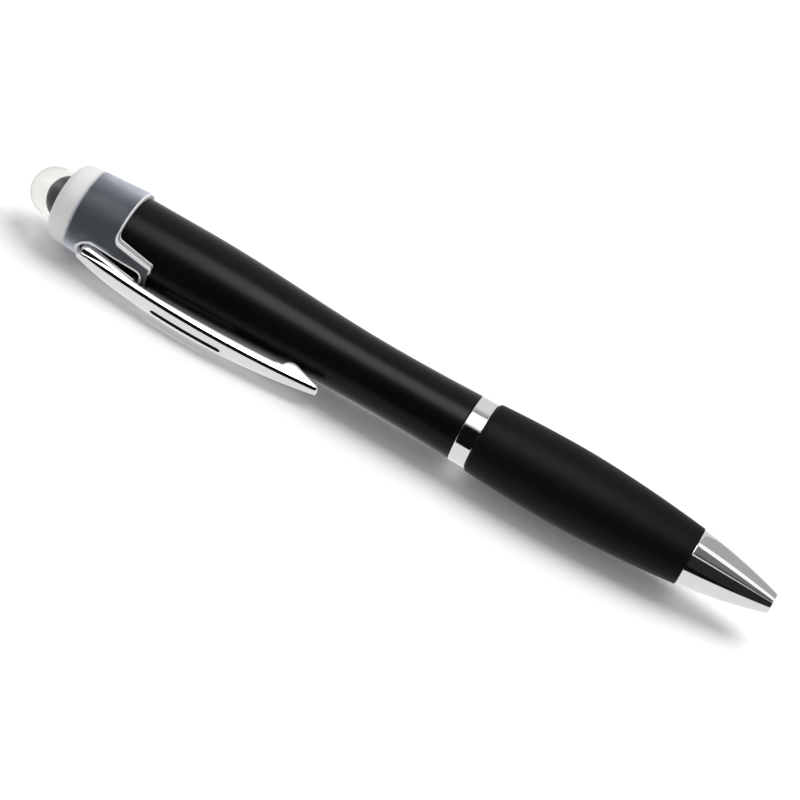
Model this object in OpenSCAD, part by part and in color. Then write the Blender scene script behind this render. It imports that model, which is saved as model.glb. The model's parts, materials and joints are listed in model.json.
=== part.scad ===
// Twist-action ballpoint pen whose clear stylus dome is also the push button of a lamp in the barrel.
// Pen frame: X runs along the axis from the stylus end to the nose, Z points out to the clip,
// and Y runs across it.
// The pen lies on a table on its cap and its clip, and its origin is on the table under its middle.

/* [Stylus button] */
// Radius of the clear silicone dome
stylus_r = 4.3; // [3.9:0.1:4.5]
// How far the dome stands out of the cap
stylus_show = 5.8; // [5:0.1:7]
// How far the dome's skirt reaches into the cap
stylus_skirt = 3; // [2:0.1:3.6]
// Radius of the dark core inside the dome
core_r = 2.7; // [2:0.1:3.2]
// Silicone over the end of the core
core_cover = 3.3; // [2:0.1:4]
// Thickness of the flange that keeps the button in
flange_t = 1.4; // [1:0.1:2]
// Travel of the button
press_travel = 1.2; // [0.6:0.1:1.8]

/* [End cap] */
// Wall of the cap over the barrel's straight part, at the open edge
cap_wall = 0.72; // [0.6:0.02:1]
// How much narrower the cap is behind its rounded end than at its open edge
cap_flare = 0.4; // [0:0.05:0.6]
// Length from the end face to the open edge
cap_length = 12.8; // [11:0.1:15]
// Thickness of the end wall
cap_end_wall = 4.2; // [3.8:0.1:5]
// Rounding of the end
cap_round = 2; // [1:0.1:2.4]
// Length of the tongue past the open edge
tongue_length = 7.5; // [6:0.1:9]
// Width of the tongue at the open edge
tongue_base_w = 11.4; // [9:0.1:12]
// Width of the tongue at its end
tongue_end_w = 10; // [8.6:0.1:11]
// Rounding of the tongue's corners
tongue_round = 0.8; // [0.4:0.1:1.2]
// Rounding where the tongue leaves the open edge
tongue_fillet = 0.9; // [0.4:0.1:1.2]
// Width of the window that the clip goes through
window_w = 6.4; // [5.6:0.1:7]
// Length of the window
window_length = 12; // [11:0.1:12.6]
// From the cap's end face to the window
window_start = 6.8; // [6.4:0.1:7]

/* [Upper barrel] */
// Outer radius of the straight part
barrel_r = 7.03; // [6.9:0.01:7.2]
// Depth of the neck under the cap
neck_step = 0.53; // [0.4:0.01:0.7]
// Radius at the waist
waist_r = 5.65; // [5.5:0.05:6]
// Radius at the twist joint
joint_r = 5.95; // [5.8:0.05:6.2]
// Length of the straight part
barrel_straight = 11.2; // [8:0.1:16]
// Length of the taper down to the waist
barrel_taper = 38; // [30:0.5:46]
// Length from the waist to the joint
barrel_flare = 15.9; // [13:0.1:20]

/* [Clip] */
// From the cap's end face to the clip's root
clip_start = 7.3; // [7:0.1:7.4]
// Length of the clip
clip_length = 46.6; // [42:0.1:50]
// Width at the widest place
clip_w = 5.6; // [5:0.1:6]
// From the clip's root to its widest place
clip_wide = 20.4; // [16:0.1:24]
// Width at the blunt tip
clip_end_w = 2.5; // [2.1:0.1:3]
// Height of the blunt tip
clip_tip_h = 0.7; // [0.6:0.05:1]
// Height of the bowed face's edge over the barrel, at its highest place
clip_rise = 3.1; // [2.9:0.01:3.3]
// How far the face drops to both ends
clip_top_drop = 1.85; // [1.6:0.05:2]
// Height of the side walls' lower edge over the barrel, at its highest place
clip_lift = 1.49; // [1.4:0.01:1.7]
// How far the lower edge drops over half the clip's length
clip_low_drop = 1.6; // [1.4:0.05:1.7]
// How far the middle of the face stands over its edges
clip_crown = 0.42; // [0.3:0.02:0.5]
// Bevel between the face and the side walls
clip_bevel = 0.35; // [0.2:0.05:0.4]
// Sheet thickness
clip_sheet = 0.6; // [0.4:0.05:0.7]
// Width of the slot in the face
slot_w = 1.25; // [0.6:0.05:1.4]
// Length of the slot
slot_length = 13.6; // [8:0.1:16]
// From the clip's root to the slot
slot_start = 15.8; // [14:0.1:18]
// Radius of the bump that faces the barrel
bump_r = 1.9; // [1.6:0.1:2.1]
// From the clip's tip to the middle of the bump
bump_from_tip = 5.15; // [4.6:0.05:6]
// Width of the tab that lies in the cap's window
tab_w = 4.4; // [3.8:0.1:4.6]
// Thickness of the tab
tab_t = 1.1; // [0.9:0.05:1.2]
// Radius of the rolled foot that the clip rocks on
foot_r = 0.45; // [0.3:0.05:0.5]
// Width of the rolled foot
foot_w = 3; // [2:0.1:3.6]

/* [Lamp] */
// Radius of one button cell
cell_r = 3.95; // [3.4:0.05:4]
// Height of one button cell
cell_h = 3.6; // [2:0.1:4]
// Number of cells
cell_count = 3; // [2:1:4]
// Wall of the cells' sleeve
sleeve_wall = 1; // [0.8:0.05:1.1]
// Side of the square switch
switch_w = 6; // [5:0.1:6.6]
// Height of the switch
switch_h = 4; // [3.6:0.1:5]
// Radius of the switch's stem
stem_r = 1.5; // [1:0.1:2]
// Thickness of the circuit board
board_t = 0.8; // [0.6:0.1:1.2]
// Height of the rear contact
contact_h = 0.6; // [0.4:0.1:1]
// Length of the contact spring
contact_length = 2.6; // [2.4:0.1:3.2]
// Radius of the lamp
led_r = 2.5; // [1.5:0.1:2.6]
// Length of the lamp from its flange to its tip
led_length = 8.6; // [6:0.1:9]
// Distance between the lamp's leads
lead_pitch = 2.54; // [2:0.02:2.8]

/* [Twist mechanism] */
// Travel of the refill
refill_travel = 5; // [4:0.1:5.6]
// Turn of the barrel that gives this travel
twist_angle = 180; // [150:5:200]
// Radius of the carrier's lugs
lug_r = 0.9; // [0.7:0.05:1]
// Number of lugs
lug_count = 2; // [1:1:2]
// Cam wall left beyond the slot's ends
cam_rim = 2.4; // [1.6:0.1:3]
// Outer radius of the guide sleeve
guide_r = 3.35; // [3.2:0.05:3.5]
// Wall of the guide sleeve
guide_wall = 0.8; // [0.6:0.05:0.9]
// Length of the carrier behind its lugs
carrier_rear = 3; // [2:0.1:4]
// Length of the carrier in front of its lugs
carrier_front = 7; // [5:0.1:8]

/* [Grip] */
// Length of the ring at the twist joint
ring_length = 3.2; // [2:0.1:5]
// Radius of the ring
ring_r = 5.98; // [5.85:0.01:6.2]
// Radius of the spigot that the barrel turns on
spigot_r = 4.55; // [4.4:0.05:4.6]
// Length of the spigot inside the barrel
spigot_length = 7.4; // [6:0.1:9]
// Radius of the core tube
core_tube_r = 4.5; // [4.3:0.05:4.55]
// Length of the rubber grip
grip_length = 39.4; // [34:0.1:46]
// Largest radius of the grip
grip_belly_r = 6.84; // [6.5:0.01:7.2]
// From the grip's rear end to its largest radius
grip_belly = 15.8; // [12:0.1:20]
// Radius at the rear end
grip_rear_r = 6.29; // [6.15:0.01:6.45]
// Radius at the front end
grip_front_r = 5.2; // [5.1:0.01:5.5]
// Rounding of the rear edge
grip_edge = 0.6; // [0.3:0.05:0.7]

/* [Nose and refill] */
// Length of the nose cone
nose_length = 15.4; // [13:0.1:18]
// Radius where it meets the grip
nose_base_r = 5.06; // [4.9:0.01:5.1]
// Radius at its end
nose_end_r = 1.79; // [1.7:0.01:2]
// Bulge of its side
nose_bulge = 0.35; // [0:0.05:0.6]
// Length of the spigot in the core
nose_spigot = 7; // [5:0.1:9]
// Radius of the spring's chamber
chamber_r = 2.3; // [2.15:0.05:2.4]
// Length of the guide bore at the nose's end
bore_length = 5; // [4:0.1:5.4]
// Radius of the brass point
tip_r = 1.15; // [1:0.05:1.2]
// Length of the point's cone
tip_cone = 3.8; // [3:0.1:4.2]
// How far the point is drawn in
tip_retract = 1.4; // [1.3:0.1:1.8]
// Radius of the writing ball
tip_ball_r = 0.35; // [0.25:0.05:0.4]
// Radius of the refill's tube
tube_r = 1.5; // [1.4:0.05:1.6]
// Wall of the refill's tube
tube_wall = 0.45; // [0.35:0.05:0.5]
// Wire of the springs
wire_d = 0.4; // [0.3:0.05:0.5]
// Curls of the return spring
spring_curls = 8; // [5:1:9]
// Curls of the contact spring
contact_curls = 2.5; // [1.5:0.5:2.5]

/* [Clearances] */
// Radial gap of pressed or glued pieces
seat_gap = 0.05; // [0.02:0.01:0.08]
// Radial gap of pieces that run in each other
run_gap = 0.1; // [0.06:0.01:0.12]
// Gap between pieces that end against each other
end_gap = 0.1; // [0.05:0.01:0.15]
// Gap round the clip and the button
free_gap = 0.15; // [0.1:0.01:0.2]

/* [Hidden] */
$fn = 96;

// Steps of a curved profile, of a rounded edge, of the clip's length and bump, and of a slot's sweep.
// The straight slant between bump and tip takes one in slant_stride of the length's steps.
curve_steps = 36;
edge_steps = 6;
clip_steps = 30;
bump_steps = 10;
slant_stride = 3;
slot_steps = 30;
// Rings for each curl of a spring, and sides of its wire
curl_rings = 8;
wire_sides = 6;
// Cuts run past the faces that they open by this much
past = 1;

// Radii that follow from the barrel
cap_edge_r = barrel_r + seat_gap + cap_wall;
cap_r = cap_edge_r - cap_flare;
neck_r = barrel_r - neck_step;
clip_face_r = barrel_r + clip_rise;
clip_low_r = barrel_r + clip_lift;

// Places along the pen, from the dome's end
cap_end_x = stylus_show;
cap_edge_x = cap_end_x + cap_length;
barrel_tail_x = cap_end_x + cap_end_wall + seat_gap;
curve_x = cap_edge_x + barrel_straight;
waist_x = curve_x + barrel_taper;
joint_x = waist_x + barrel_flare;
ring_x = joint_x + end_gap;
grip_x = ring_x + ring_length;
nose_x = grip_x + grip_length;
pen_length = nose_x + nose_length;

// Stylus button
core_x = core_cover + core_r;
skirt_x = cap_end_x + stylus_skirt;
flange_x = cap_end_x + cap_end_wall + free_gap;
flange_end_x = flange_x + flange_t;
flange_gap = 0.25;

// Lamp, stacked from the button to the nose
switch_x = flange_end_x + press_travel + end_gap;
stem_length = switch_h - 0.5;
stem_depth = stem_length + end_gap;
board_x = switch_x + switch_h;
sleeve_x = board_x + board_t;
cells_x = sleeve_x + contact_h;
cells_end_x = cells_x + cell_count * cell_h;
sleeve_floor = 0.8;
sleeve_floor_x = cells_end_x + contact_length;
sleeve_end_x = sleeve_floor_x + sleeve_floor;
strip_t = 0.25;
strip_w = 1.2;
led_x = sleeve_end_x + strip_t + 2 * seat_gap;
led_flange_t = 1;
led_flange_r = led_r + 0.4;
lead_r = 0.25;
cell_bore_r = cell_r + run_gap;
sleeve_r = cell_bore_r + sleeve_wall;
barrel_bore_r = sleeve_r + seat_gap;
flange_r = barrel_bore_r - flange_gap;
cavity_end_x = led_x + led_length + past;

// Twist mechanism, set back from the joint
spigot_x = joint_x - spigot_length;
cam_gap = 2;
cam_r = spigot_r + run_gap - seat_gap;
cam_bore_r = guide_r + run_gap;
cam_seat_r = spigot_r + run_gap;
cam_stop = 0.45;
helix_lead = refill_travel * 360 / twist_angle;
slot_half = (lug_r + run_gap) / cos(atan(helix_lead / (2 * PI * cam_bore_r)));
cam_end_x = spigot_x - cam_gap;
lug_x = cam_end_x - cam_rim - slot_half - refill_travel;
cam_x = lug_x - slot_half - cam_rim;
lug_top_r = cam_r - 0.25;
guide_bore_r = guide_r - guide_wall;
guide_x = cam_x - 1;
guide_seat = 8;
guide_end_x = grip_x + guide_seat;
carrier_r = guide_bore_r - run_gap;
carrier_x = lug_x - carrier_rear;
carrier_end_x = lug_x + carrier_front;
socket_x = lug_x + lug_r + past;

// Snap bead that holds the barrel on the spigot
bead_h = 0.25;
bead_w = 0.6;
bead_slope = 0.3;
bead_x = spigot_x + 2.4;

// Grip core
core_bore_r = guide_r + seat_gap;
nose_spigot_r = core_bore_r + 0.25;
nose_socket_r = nose_spigot_r + seat_gap;
core_flange_t = 1.2;
core_flange_r = core_tube_r + 0.9;

// Nose and refill
nose_bore_r = tip_r + run_gap;
spigot_bore_r = nose_spigot_r - 0.75;
shoulder_x = pen_length - bore_length;
chamber_x = nose_x + 1.4;
ball_x = pen_length - tip_retract - tip_ball_r;
ball_seat_r = tip_ball_r + seat_gap;
rim_crimp = 0.02;
rim_wall = 0.08;
rim_a = acos((tip_ball_r - rim_crimp) / ball_seat_r);
tip_end_x = ball_x + ball_seat_r * sin(rim_a);
tip_end_r = tip_ball_r - rim_crimp + rim_wall;
tip_cone_x = tip_end_x - tip_cone;
tube_bore_r = tube_r - tube_wall;
tube_x = socket_x + seat_gap;
collar_r = tube_r + 0.45;
collar_t = 1.2;
spring_rest = 10;
tube_end_x = shoulder_x - spring_rest - 2 * end_gap;
stub_length = 3;
stub_r = tube_bore_r - seat_gap;
ink_gap = 12;
spring_r = (tip_r + collar_r) / 2 + wire_d / 2;

// Clip
clip_x = cap_end_x + clip_start;
clip_end_x = clip_x + clip_length;
clip_mid_x = (clip_x + clip_end_x) / 2;
clip_wide_x = clip_x + clip_wide;
clip_root_round = 12;
clip_root_power = 0.6;
clip_tip_round = 0.5;
hollow_fade = 5;
hollow_margin = 1.5;
bump_x = clip_end_x - bump_from_tip;
foot_x = clip_x + 0.9;
foot_z = neck_r + 0.25;
foot_web = 0.6;

// Share of the clip's width that stays at its two ends
root_left = 0.15;
tip_left = 0.85;

// Outer radius of the barrel in front of the cap
function barrel_outer(x) =
    x < curve_x ? barrel_r :
    x < waist_x ? waist_r + (barrel_r - waist_r) * (1 + cos(180 * (x - curve_x) / barrel_taper)) / 2 :
    waist_r + (joint_r - waist_r) * pow((x - waist_x) / barrel_flare, 2);

// Outer radius of the rubber grip
grip_front_power = 1.7;
function grip_outer(x) =
    let (
        belly_x = grip_x + grip_belly,
        rear = (belly_x - x) / grip_belly,
        front = (x - belly_x) / (grip_length - grip_belly)
    )
    x < belly_x ? grip_belly_r - (grip_belly_r - grip_rear_r) * pow(rear, 2) :
    grip_belly_r - (grip_belly_r - grip_front_r) * pow(front, grip_front_power);

// Outer radius of the nose cone
function nose_outer(x) =
    let (s = (x - nose_x) / nose_length)
    nose_base_r + (nose_end_r - nose_base_r) * s + 4 * nose_bulge * s * (1 - s);

// Points of a profile between two places, as [radius, x]
function stations(from_x, to_x, steps) = [for (i = [0 : steps]) from_x + (to_x - from_x) * i / steps];

// Quarter circle of a rounded edge about [r, x], from one angle to another
function edge_arc(r, x, radius, from_a, to_a) =
    [for (a = stations(from_a, to_a, edge_steps)) [r + radius * cos(a), x + radius * sin(a)]];

// How far a place lies from the middle of the clip, from -1 to 1
function clip_u(x) = (x - clip_mid_x) / (clip_length / 2);

// Rounding of the clip's two ends, as a share of its width
function clip_round(x) =
    let (
        root = max(0, 1 - (x - clip_x) / clip_root_round),
        tip = max(0, 1 - (clip_end_x - x) / clip_tip_round)
    )
    (root_left + (1 - root_left) * pow(max(0, 1 - root * root), clip_root_power))
    * (tip_left + (1 - tip_left) * sqrt(max(0, 1 - tip * tip)));

function clip_half_w(x) =
    let (side = (x - clip_wide_x) / (clip_end_x - clip_wide_x))
    (clip_w - (clip_w - clip_end_w) * side * side) / 2 * clip_round(x);
function clip_face(x) = clip_face_r - clip_top_drop * pow(clip_u(x), 2);
function clip_lip(x) = clip_low_r - clip_low_drop * pow((x - clip_wide_x) / (clip_length / 2), 2);
function clip_crest(x) = clip_face(x) + clip_crown * clip_half_w(x) / (clip_w / 2);

// The bump: a round lobe of the side walls towards the barrel, with a straight slant from it to the tip
bump_z = barrel_outer(bump_x) + free_gap + bump_r;
tip_low_z = clip_face(clip_end_x) - clip_tip_h;
tip_from_bump = [clip_end_x - bump_x, tip_low_z - bump_z];
bump_end_a = 360 + atan2(tip_from_bump[1], tip_from_bump[0]) - acos(bump_r / norm(tip_from_bump));
bump_start_a = 180 + asin((bump_z - clip_lip(bump_x - bump_r)) / bump_r);
bump_end_x = bump_x + bump_r * cos(bump_end_a);
bump_end_z = bump_z + bump_r * sin(bump_end_a);
bump_start_x = bump_x + bump_r * cos(bump_start_a);
function clip_low(x) =
    x <= bump_start_x ? clip_lip(x) :
    x <= bump_end_x ? bump_z - sqrt(max(0, bump_r * bump_r - pow(x - bump_x, 2))) :
    bump_end_z + (tip_low_z - bump_end_z) * (x - bump_end_x) / (clip_end_x - bump_end_x);

// Cross-section of the clip as [y, z]: a channel with straight walls, bevelled edges and a crowned face
function clip_side(x) =
    let (
        half = clip_half_w(x),
        face = clip_face(x),
        bevel = min(clip_bevel, half / 3),
        flat = half - bevel
    )
    concat(
        [[half, clip_low(x)], [half, face - bevel]],
        [for (t = stations(1, 0, edge_steps)) [flat * t, face + (clip_crest(x) - face) * (1 - t * t)]]
    );
function mirrored(points) = [for (p = points) [-p[0], p[1]]];
function backwards(points, from) = [for (i = [from : -1 : 0]) points[i]];
function placed(points, x) = [for (p = points) [x, p[0], p[1]]];
function clip_section(x) =
    let (side = clip_side(x))
    concat(mirrored(side), backwards(side, len(side) - 2));

// Cross-section of the hollow under the clip's sheet, which ends before the bump
hollow_end_x = bump_start_x - hollow_margin;
function clip_hollow(x) =
    let (
        half = clip_half_w(x) - min(clip_sheet, 0.4 * clip_half_w(x)),
        low = clip_lip(x),
        fade = min(1, (x - clip_x) / hollow_fade, (bump_start_x - x) / hollow_fade),
        depth = (clip_crest(x) - low - clip_sheet) * fade,
        side = [[half, low - past], [half, low + 0.45 * depth], [0.6 * half, low + depth]]
    )
    concat(mirrored(side), backwards(side, len(side) - 1));

// Places along the clip, closer together at its ends and along the bump
function clip_places(from_x, to_x) =
    [for (a = stations(0, 180, clip_steps)) from_x + (to_x - from_x) * (1 - cos(a)) / 2];
bump_places = [for (a = stations(bump_start_a, bump_end_a, bump_steps)) bump_x + bump_r * cos(a)];
slant_places = clip_places(bump_end_x, clip_end_x);
clip_outer_places = concat(
    clip_places(clip_x, bump_start_x),
    [for (i = [1 : bump_steps]) bump_places[i]],
    [for (i = [slant_stride : slant_stride : clip_steps]) slant_places[i]]
);
clip_sections = [for (x = clip_outer_places) clip_section(x)];

// The pen lies on the cap's edge, with the clip dipped below the horizontal until it meets the table too
clip_dip = min([for (s = clip_sections) for (p = s)
    if (norm(p) > cap_edge_r) asin(cap_edge_r / norm(p)) - atan2(abs(p[0]), p[1])]);
clip_reach = max([for (s = clip_sections) for (p = s) p[1] * cos(clip_dip) + p[0] * sin(clip_dip)]);
axis_z = cap_edge_r;
axis_y = (clip_reach - cap_edge_r) / 2;

// From the pen frame to the pen lying on the table
module lay_down() {
    translate([-pen_length / 2, axis_y, axis_z]) rotate([90 + clip_dip, 0, 0]) children();
}

// Solid of revolution about the pen's axis, from [radius, x] points
module revolve(points) {
    rotate([0, 90, 0]) rotate_extrude() polygon(points);
}

// Straight rod or tube about the pen's axis
module rod(x, length, r) {
    translate([x, 0, 0]) rotate([0, 90, 0]) cylinder(r = r, h = length);
}
module tube(x, length, r, bore) {
    difference() {
        rod(x, length, r);
        rod(x - past, length + 2 * past, bore);
    }
}

// Faces of a closed skin over equal rings of points, as triangles
function skin_sides(rings, count) =
    [for (i = [0 : rings - 2]) for (j = [0 : count - 1])
        let (a = i * count + j, b = i * count + (j + 1) % count)
        each [[a, b, b + count], [a, b + count, a + count]]];
function ring_strips(first, count) =
    [for (j = [0 : ceil(count / 2) - 2])
        let (a = first + j, b = first + count - 1 - j)
        each b - a > 2 ? [[b, b - 1, a], [b - 1, a + 1, a]] : [[b, a + 1, a]]];
function turned_over(faces) = [for (f = faces) [f[2], f[1], f[0]]];
function skin_ends(rings, count) =
    concat(ring_strips(0, count), turned_over(ring_strips((rings - 1) * count, count)));
module skin(rings) {
    count = len(rings[0]);
    polyhedron(
        points = [for (ring = rings) each ring],
        faces = concat(skin_sides(len(rings), count), skin_ends(len(rings), count))
    );
}

// Wire coil about the pen's axis, from one x and radius to another
function coil_angle(i) = 360 * i / curl_rings;
function coil_middle(i, count, x, end_x, r, end_r) =
    let (s = i / count, turned = r + (end_r - r) * s)
    [x + (end_x - x) * s, turned * cos(coil_angle(i)), turned * sin(coil_angle(i))];
function coil_ring(i, count, x, end_x, r, end_r) =
    let (
        middle = coil_middle(i, count, x, end_x, r, end_r),
        out = [0, cos(coil_angle(i)), sin(coil_angle(i))]
    )
    [for (j = [0 : wire_sides - 1])
        let (a = 360 * j / wire_sides)
        middle + wire_d / 2 * (cos(a) * out + sin(a) * [1, 0, 0])];
function coil_gap(count, x, end_x, r, end_r) =
    let (middles = [for (i = [0 : count]) coil_middle(i, count, x, end_x, r, end_r)])
    min([for (i = [0 : count - curl_rings]) for (k = [curl_rings - 2 : min(curl_rings + 2, count - i)])
        norm(middles[i] - middles[i + k])]) - wire_d;
module coil(name, x, end_x, r, end_r, curls) {
    count = round(curls * curl_rings);
    echo(name, least_gap = coil_gap(count, x, end_x, r, end_r));
    skin([for (i = [0 : count]) coil_ring(i, count, x, end_x, r, end_r)]);
}

module stylus_tip() {
    color([0.93, 0.93, 0.9, 0.6]) lay_down() difference() {
        union() {
            translate([stylus_r, 0, 0]) sphere(stylus_r);
            rod(stylus_r, skirt_x - stylus_r, stylus_r);
        }
        translate([core_x, 0, 0]) sphere(core_r + seat_gap);
        rod(core_x, skirt_x - core_x + past, core_r + seat_gap);
    }
}

module stylus_plunger() {
    color([0.08, 0.08, 0.1]) lay_down() union() {
        translate([core_x, 0, 0]) sphere(core_r);
        rod(core_x, skirt_x - core_x + flange_t, core_r);
        rod(skirt_x, flange_x - skirt_x, stylus_r);
        rod(flange_x, flange_t, flange_r);
    }
}

module switch_button() {
    color("ivory") lay_down()
        rod(flange_end_x, switch_x - flange_end_x + stem_length - press_travel, stem_r);
}

module switch_housing() {
    color([0.15, 0.15, 0.16]) lay_down() difference() {
        translate([switch_x, -switch_w / 2, -switch_w / 2]) cube([switch_h, switch_w, switch_w]);
        rod(switch_x - past, stem_depth + past, stem_r + run_gap);
    }
}

module circuit_board() {
    color([0.1, 0.35, 0.2]) lay_down() rod(board_x, board_t, barrel_bore_r - run_gap);
}

module rear_contact() {
    pad_r = 0.7 * cell_r;
    pad_edge_x = sleeve_x + contact_h / 3;
    color("goldenrod") lay_down()
        revolve([[0, sleeve_x], [pad_r, sleeve_x], [pad_r, pad_edge_x], [pad_r / 2, cells_x], [0, cells_x]]);
}

module battery_sleeve() {
    color([0.9, 0.9, 0.88]) lay_down() difference() {
        rod(sleeve_x, sleeve_end_x - sleeve_x, sleeve_r);
        rod(sleeve_x - past, sleeve_floor_x - sleeve_x + past, cell_bore_r);
        strip_channel(seat_gap);
        lead_rods(sleeve_floor_x - past, sleeve_floor + 2 * past, lead_r + seat_gap);
    }
}

// Groove along the sleeve for the contact strip
module strip_channel(gap) {
    groove_w = strip_w + 2 * gap;
    translate([sleeve_x - past, -groove_w / 2, -sleeve_r - past])
        cube([sleeve_end_x - sleeve_x + 2 * past, groove_w, strip_t + gap + past]);
}

// The lamp's two leads, or their holes
module lead_rods(x, length, r) {
    for (side = [-1, 1]) translate([0, 0, side * lead_pitch / 2]) rod(x, length, r);
}

module button_cells() {
    rim_r = 0.82 * cell_r;
    rim_h = 0.1 * cell_h;
    can_h = cell_h - seat_gap;
    color("silver") lay_down() for (i = [0 : cell_count - 1])
        translate([cells_x + i * cell_h, 0, 0])
            revolve([[0, 0], [rim_r, 0], [rim_r, rim_h], [cell_r, rim_h], [cell_r, can_h], [0, can_h]]);
}

module contact_spring() {
    first_x = cells_end_x + wire_d / 2 + seat_gap;
    last_x = sleeve_floor_x - wire_d / 2 - seat_gap;
    color("gold") lay_down()
        coil("contact_spring", first_x, last_x, 0.5 * cell_r, 0.8 * cell_r, contact_curls);
}

module contact_strip() {
    strip_x = sleeve_end_x + seat_gap;
    leg_end_z = lead_pitch / 2 - strip_w / 2;
    color("gold") lay_down() difference() {
        union() {
            translate([sleeve_x + seat_gap, -strip_w / 2, -sleeve_r])
                cube([strip_x - sleeve_x, strip_w, strip_t]);
            translate([strip_x, -strip_w / 2, -sleeve_r]) cube([strip_t, strip_w, sleeve_r - leg_end_z]);
        }
        lead_rods(strip_x - past, strip_t + 2 * past, lead_r + seat_gap);
    }
}

module led() {
    dome_x = led_x + led_length - led_r;
    color([0.9, 0.92, 0.95, 0.7]) lay_down() union() {
        rod(led_x, led_flange_t, led_flange_r);
        rod(led_x, dome_x - led_x, led_r);
        translate([dome_x, 0, 0]) sphere(led_r);
    }
}

module led_leads() {
    lead_x = sleeve_floor_x - 0.2;
    color("silver") lay_down() lead_rods(lead_x, led_x - lead_x, lead_r);
}

module end_cap() {
    bore_x = cap_end_x + cap_end_wall;
    bore_r = neck_r + seat_gap;
    hole_r = stylus_r + free_gap;
    tongue_bore_r = barrel_r + seat_gap;
    color([0.85, 0.87, 0.9, 0.45]) lay_down() difference() {
        union() {
            revolve(concat(
                [[hole_r, cap_end_x]],
                edge_arc(cap_r - cap_round, cap_end_x + cap_round, cap_round, -90, 0),
                [[cap_edge_r, cap_edge_x], [bore_r, cap_edge_x], [bore_r, bore_x], [hole_r, bore_x]]
            ));
            intersection() {
                tube(cap_edge_x - past, tongue_length + past, cap_edge_r, tongue_bore_r);
                linear_extrude(cap_edge_r + past) tongue_outline();
            }
        }
        linear_extrude(cap_edge_r + past)
            rounded_box(cap_end_x + window_start, window_length, window_w, tongue_round);
    }
}

// Outline of the tongue across and along the pen, with rounded corners at its end
module tongue_outline() {
    end_x = cap_edge_x + tongue_length;
    corner_x = end_x - tongue_round;
    corner_y = tongue_end_w / 2 - tongue_round;
    fillet_x = cap_edge_x + tongue_fillet;
    fillet_y = tongue_base_w / 2 + tongue_fillet;
    side = [[cap_edge_x - past, tongue_base_w / 2], [corner_x, tongue_end_w / 2], [corner_x, corner_y]];
    polygon(concat(
        side,
        [[end_x, corner_y], [end_x, -corner_y]],
        [for (p = backwards(side, len(side) - 1)) [p[0], -p[1]]]
    ));
    for (side = [-1, 1]) {
        translate([corner_x, side * corner_y]) circle(tongue_round);
        difference() {
            translate([cap_edge_x - past, side > 0 ? 0 : -fillet_y])
                square([past + tongue_fillet, fillet_y]);
            translate([fillet_x, side * fillet_y]) circle(tongue_fillet);
        }
    }
}

// Rectangle along the pen with rounded corners
module rounded_box(x, length, width, radius) {
    translate([x + radius, -width / 2]) square([length - 2 * radius, width]);
    translate([x, radius - width / 2]) square([length, width - 2 * radius]);
    for (corner_x = [x + radius, x + length - radius]) for (side = [-1, 1])
        translate([corner_x, side * (width / 2 - radius)]) circle(radius);
}

module upper_barrel() {
    chamfer = 0.3;
    shoulder_x = cap_edge_x + seat_gap;
    groove_r = cam_seat_r + bead_h + free_gap;
    groove_x = bead_x - bead_slope - free_gap;
    groove_end_x = bead_x + bead_w + bead_slope + free_gap;
    foot_length = foot_w + 2 * free_gap;
    color([0.06, 0.06, 0.065]) lay_down() difference() {
        revolve(concat(
            [[barrel_bore_r, barrel_tail_x], [neck_r - chamfer, barrel_tail_x]],
            [[neck_r, barrel_tail_x + chamfer], [neck_r, shoulder_x], [barrel_r, shoulder_x]],
            [for (x = stations(curve_x, joint_x, curve_steps)) [barrel_outer(x), x]],
            [[cam_seat_r, joint_x], [cam_seat_r, groove_end_x], [groove_r, groove_end_x]],
            [[groove_r, groove_x], [cam_seat_r, groove_x], [cam_seat_r, cam_x - seat_gap]],
            [[cam_seat_r - cam_stop, cam_x - seat_gap], [barrel_bore_r, cavity_end_x]]
        ));
        translate([foot_x, foot_length / 2, foot_z]) rotate([90, 0, 0])
            cylinder(r = foot_r + run_gap, h = foot_length);
    }
}

module pocket_clip() {
    slot_x = clip_x + slot_start;
    slot_z = (clip_low_r + clip_face_r) / 2;
    tab_x = foot_x - foot_web / 2;
    tab_length = cap_end_x + window_start + window_length - 3 * free_gap - tab_x;
    tab_z = barrel_r + free_gap;
    color([0.8, 0.8, 0.82]) lay_down() difference() {
        union() {
            difference() {
                skin([for (x = clip_outer_places) placed(clip_section(x), x)]);
                skin([for (x = clip_places(clip_x + hollow_margin, hollow_end_x)) placed(clip_hollow(x), x)]);
            }
            translate([foot_x, foot_w / 2, foot_z]) rotate([90, 0, 0]) cylinder(r = foot_r, h = foot_w);
            translate([tab_x, -foot_w / 2, foot_z]) cube([foot_web, foot_w, tab_z + tab_t - foot_z]);
            translate([0, 0, tab_z]) linear_extrude(tab_t) tab_outline(tab_x, tab_length);
        }
        translate([0, 0, slot_z]) linear_extrude(clip_face_r)
            rounded_box(slot_x, slot_length, slot_w, slot_w / 2.01);
    }
}

// Outline of the tab: round at the clip's root, square at its other end
module tab_outline(x, length) {
    translate([x + tab_w / 2, -tab_w / 2]) square([length - tab_w / 2, tab_w]);
    translate([x + tab_w / 2, 0]) circle(tab_w / 2);
}

module twist_cam() {
    color("white") lay_down() difference() {
        tube(cam_x, cam_end_x - cam_x, cam_r, cam_bore_r);
        for (k = [1 : lug_count]) rotate([360 * k / lug_count, 0, 0]) helical_slot();
    }
}

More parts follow.
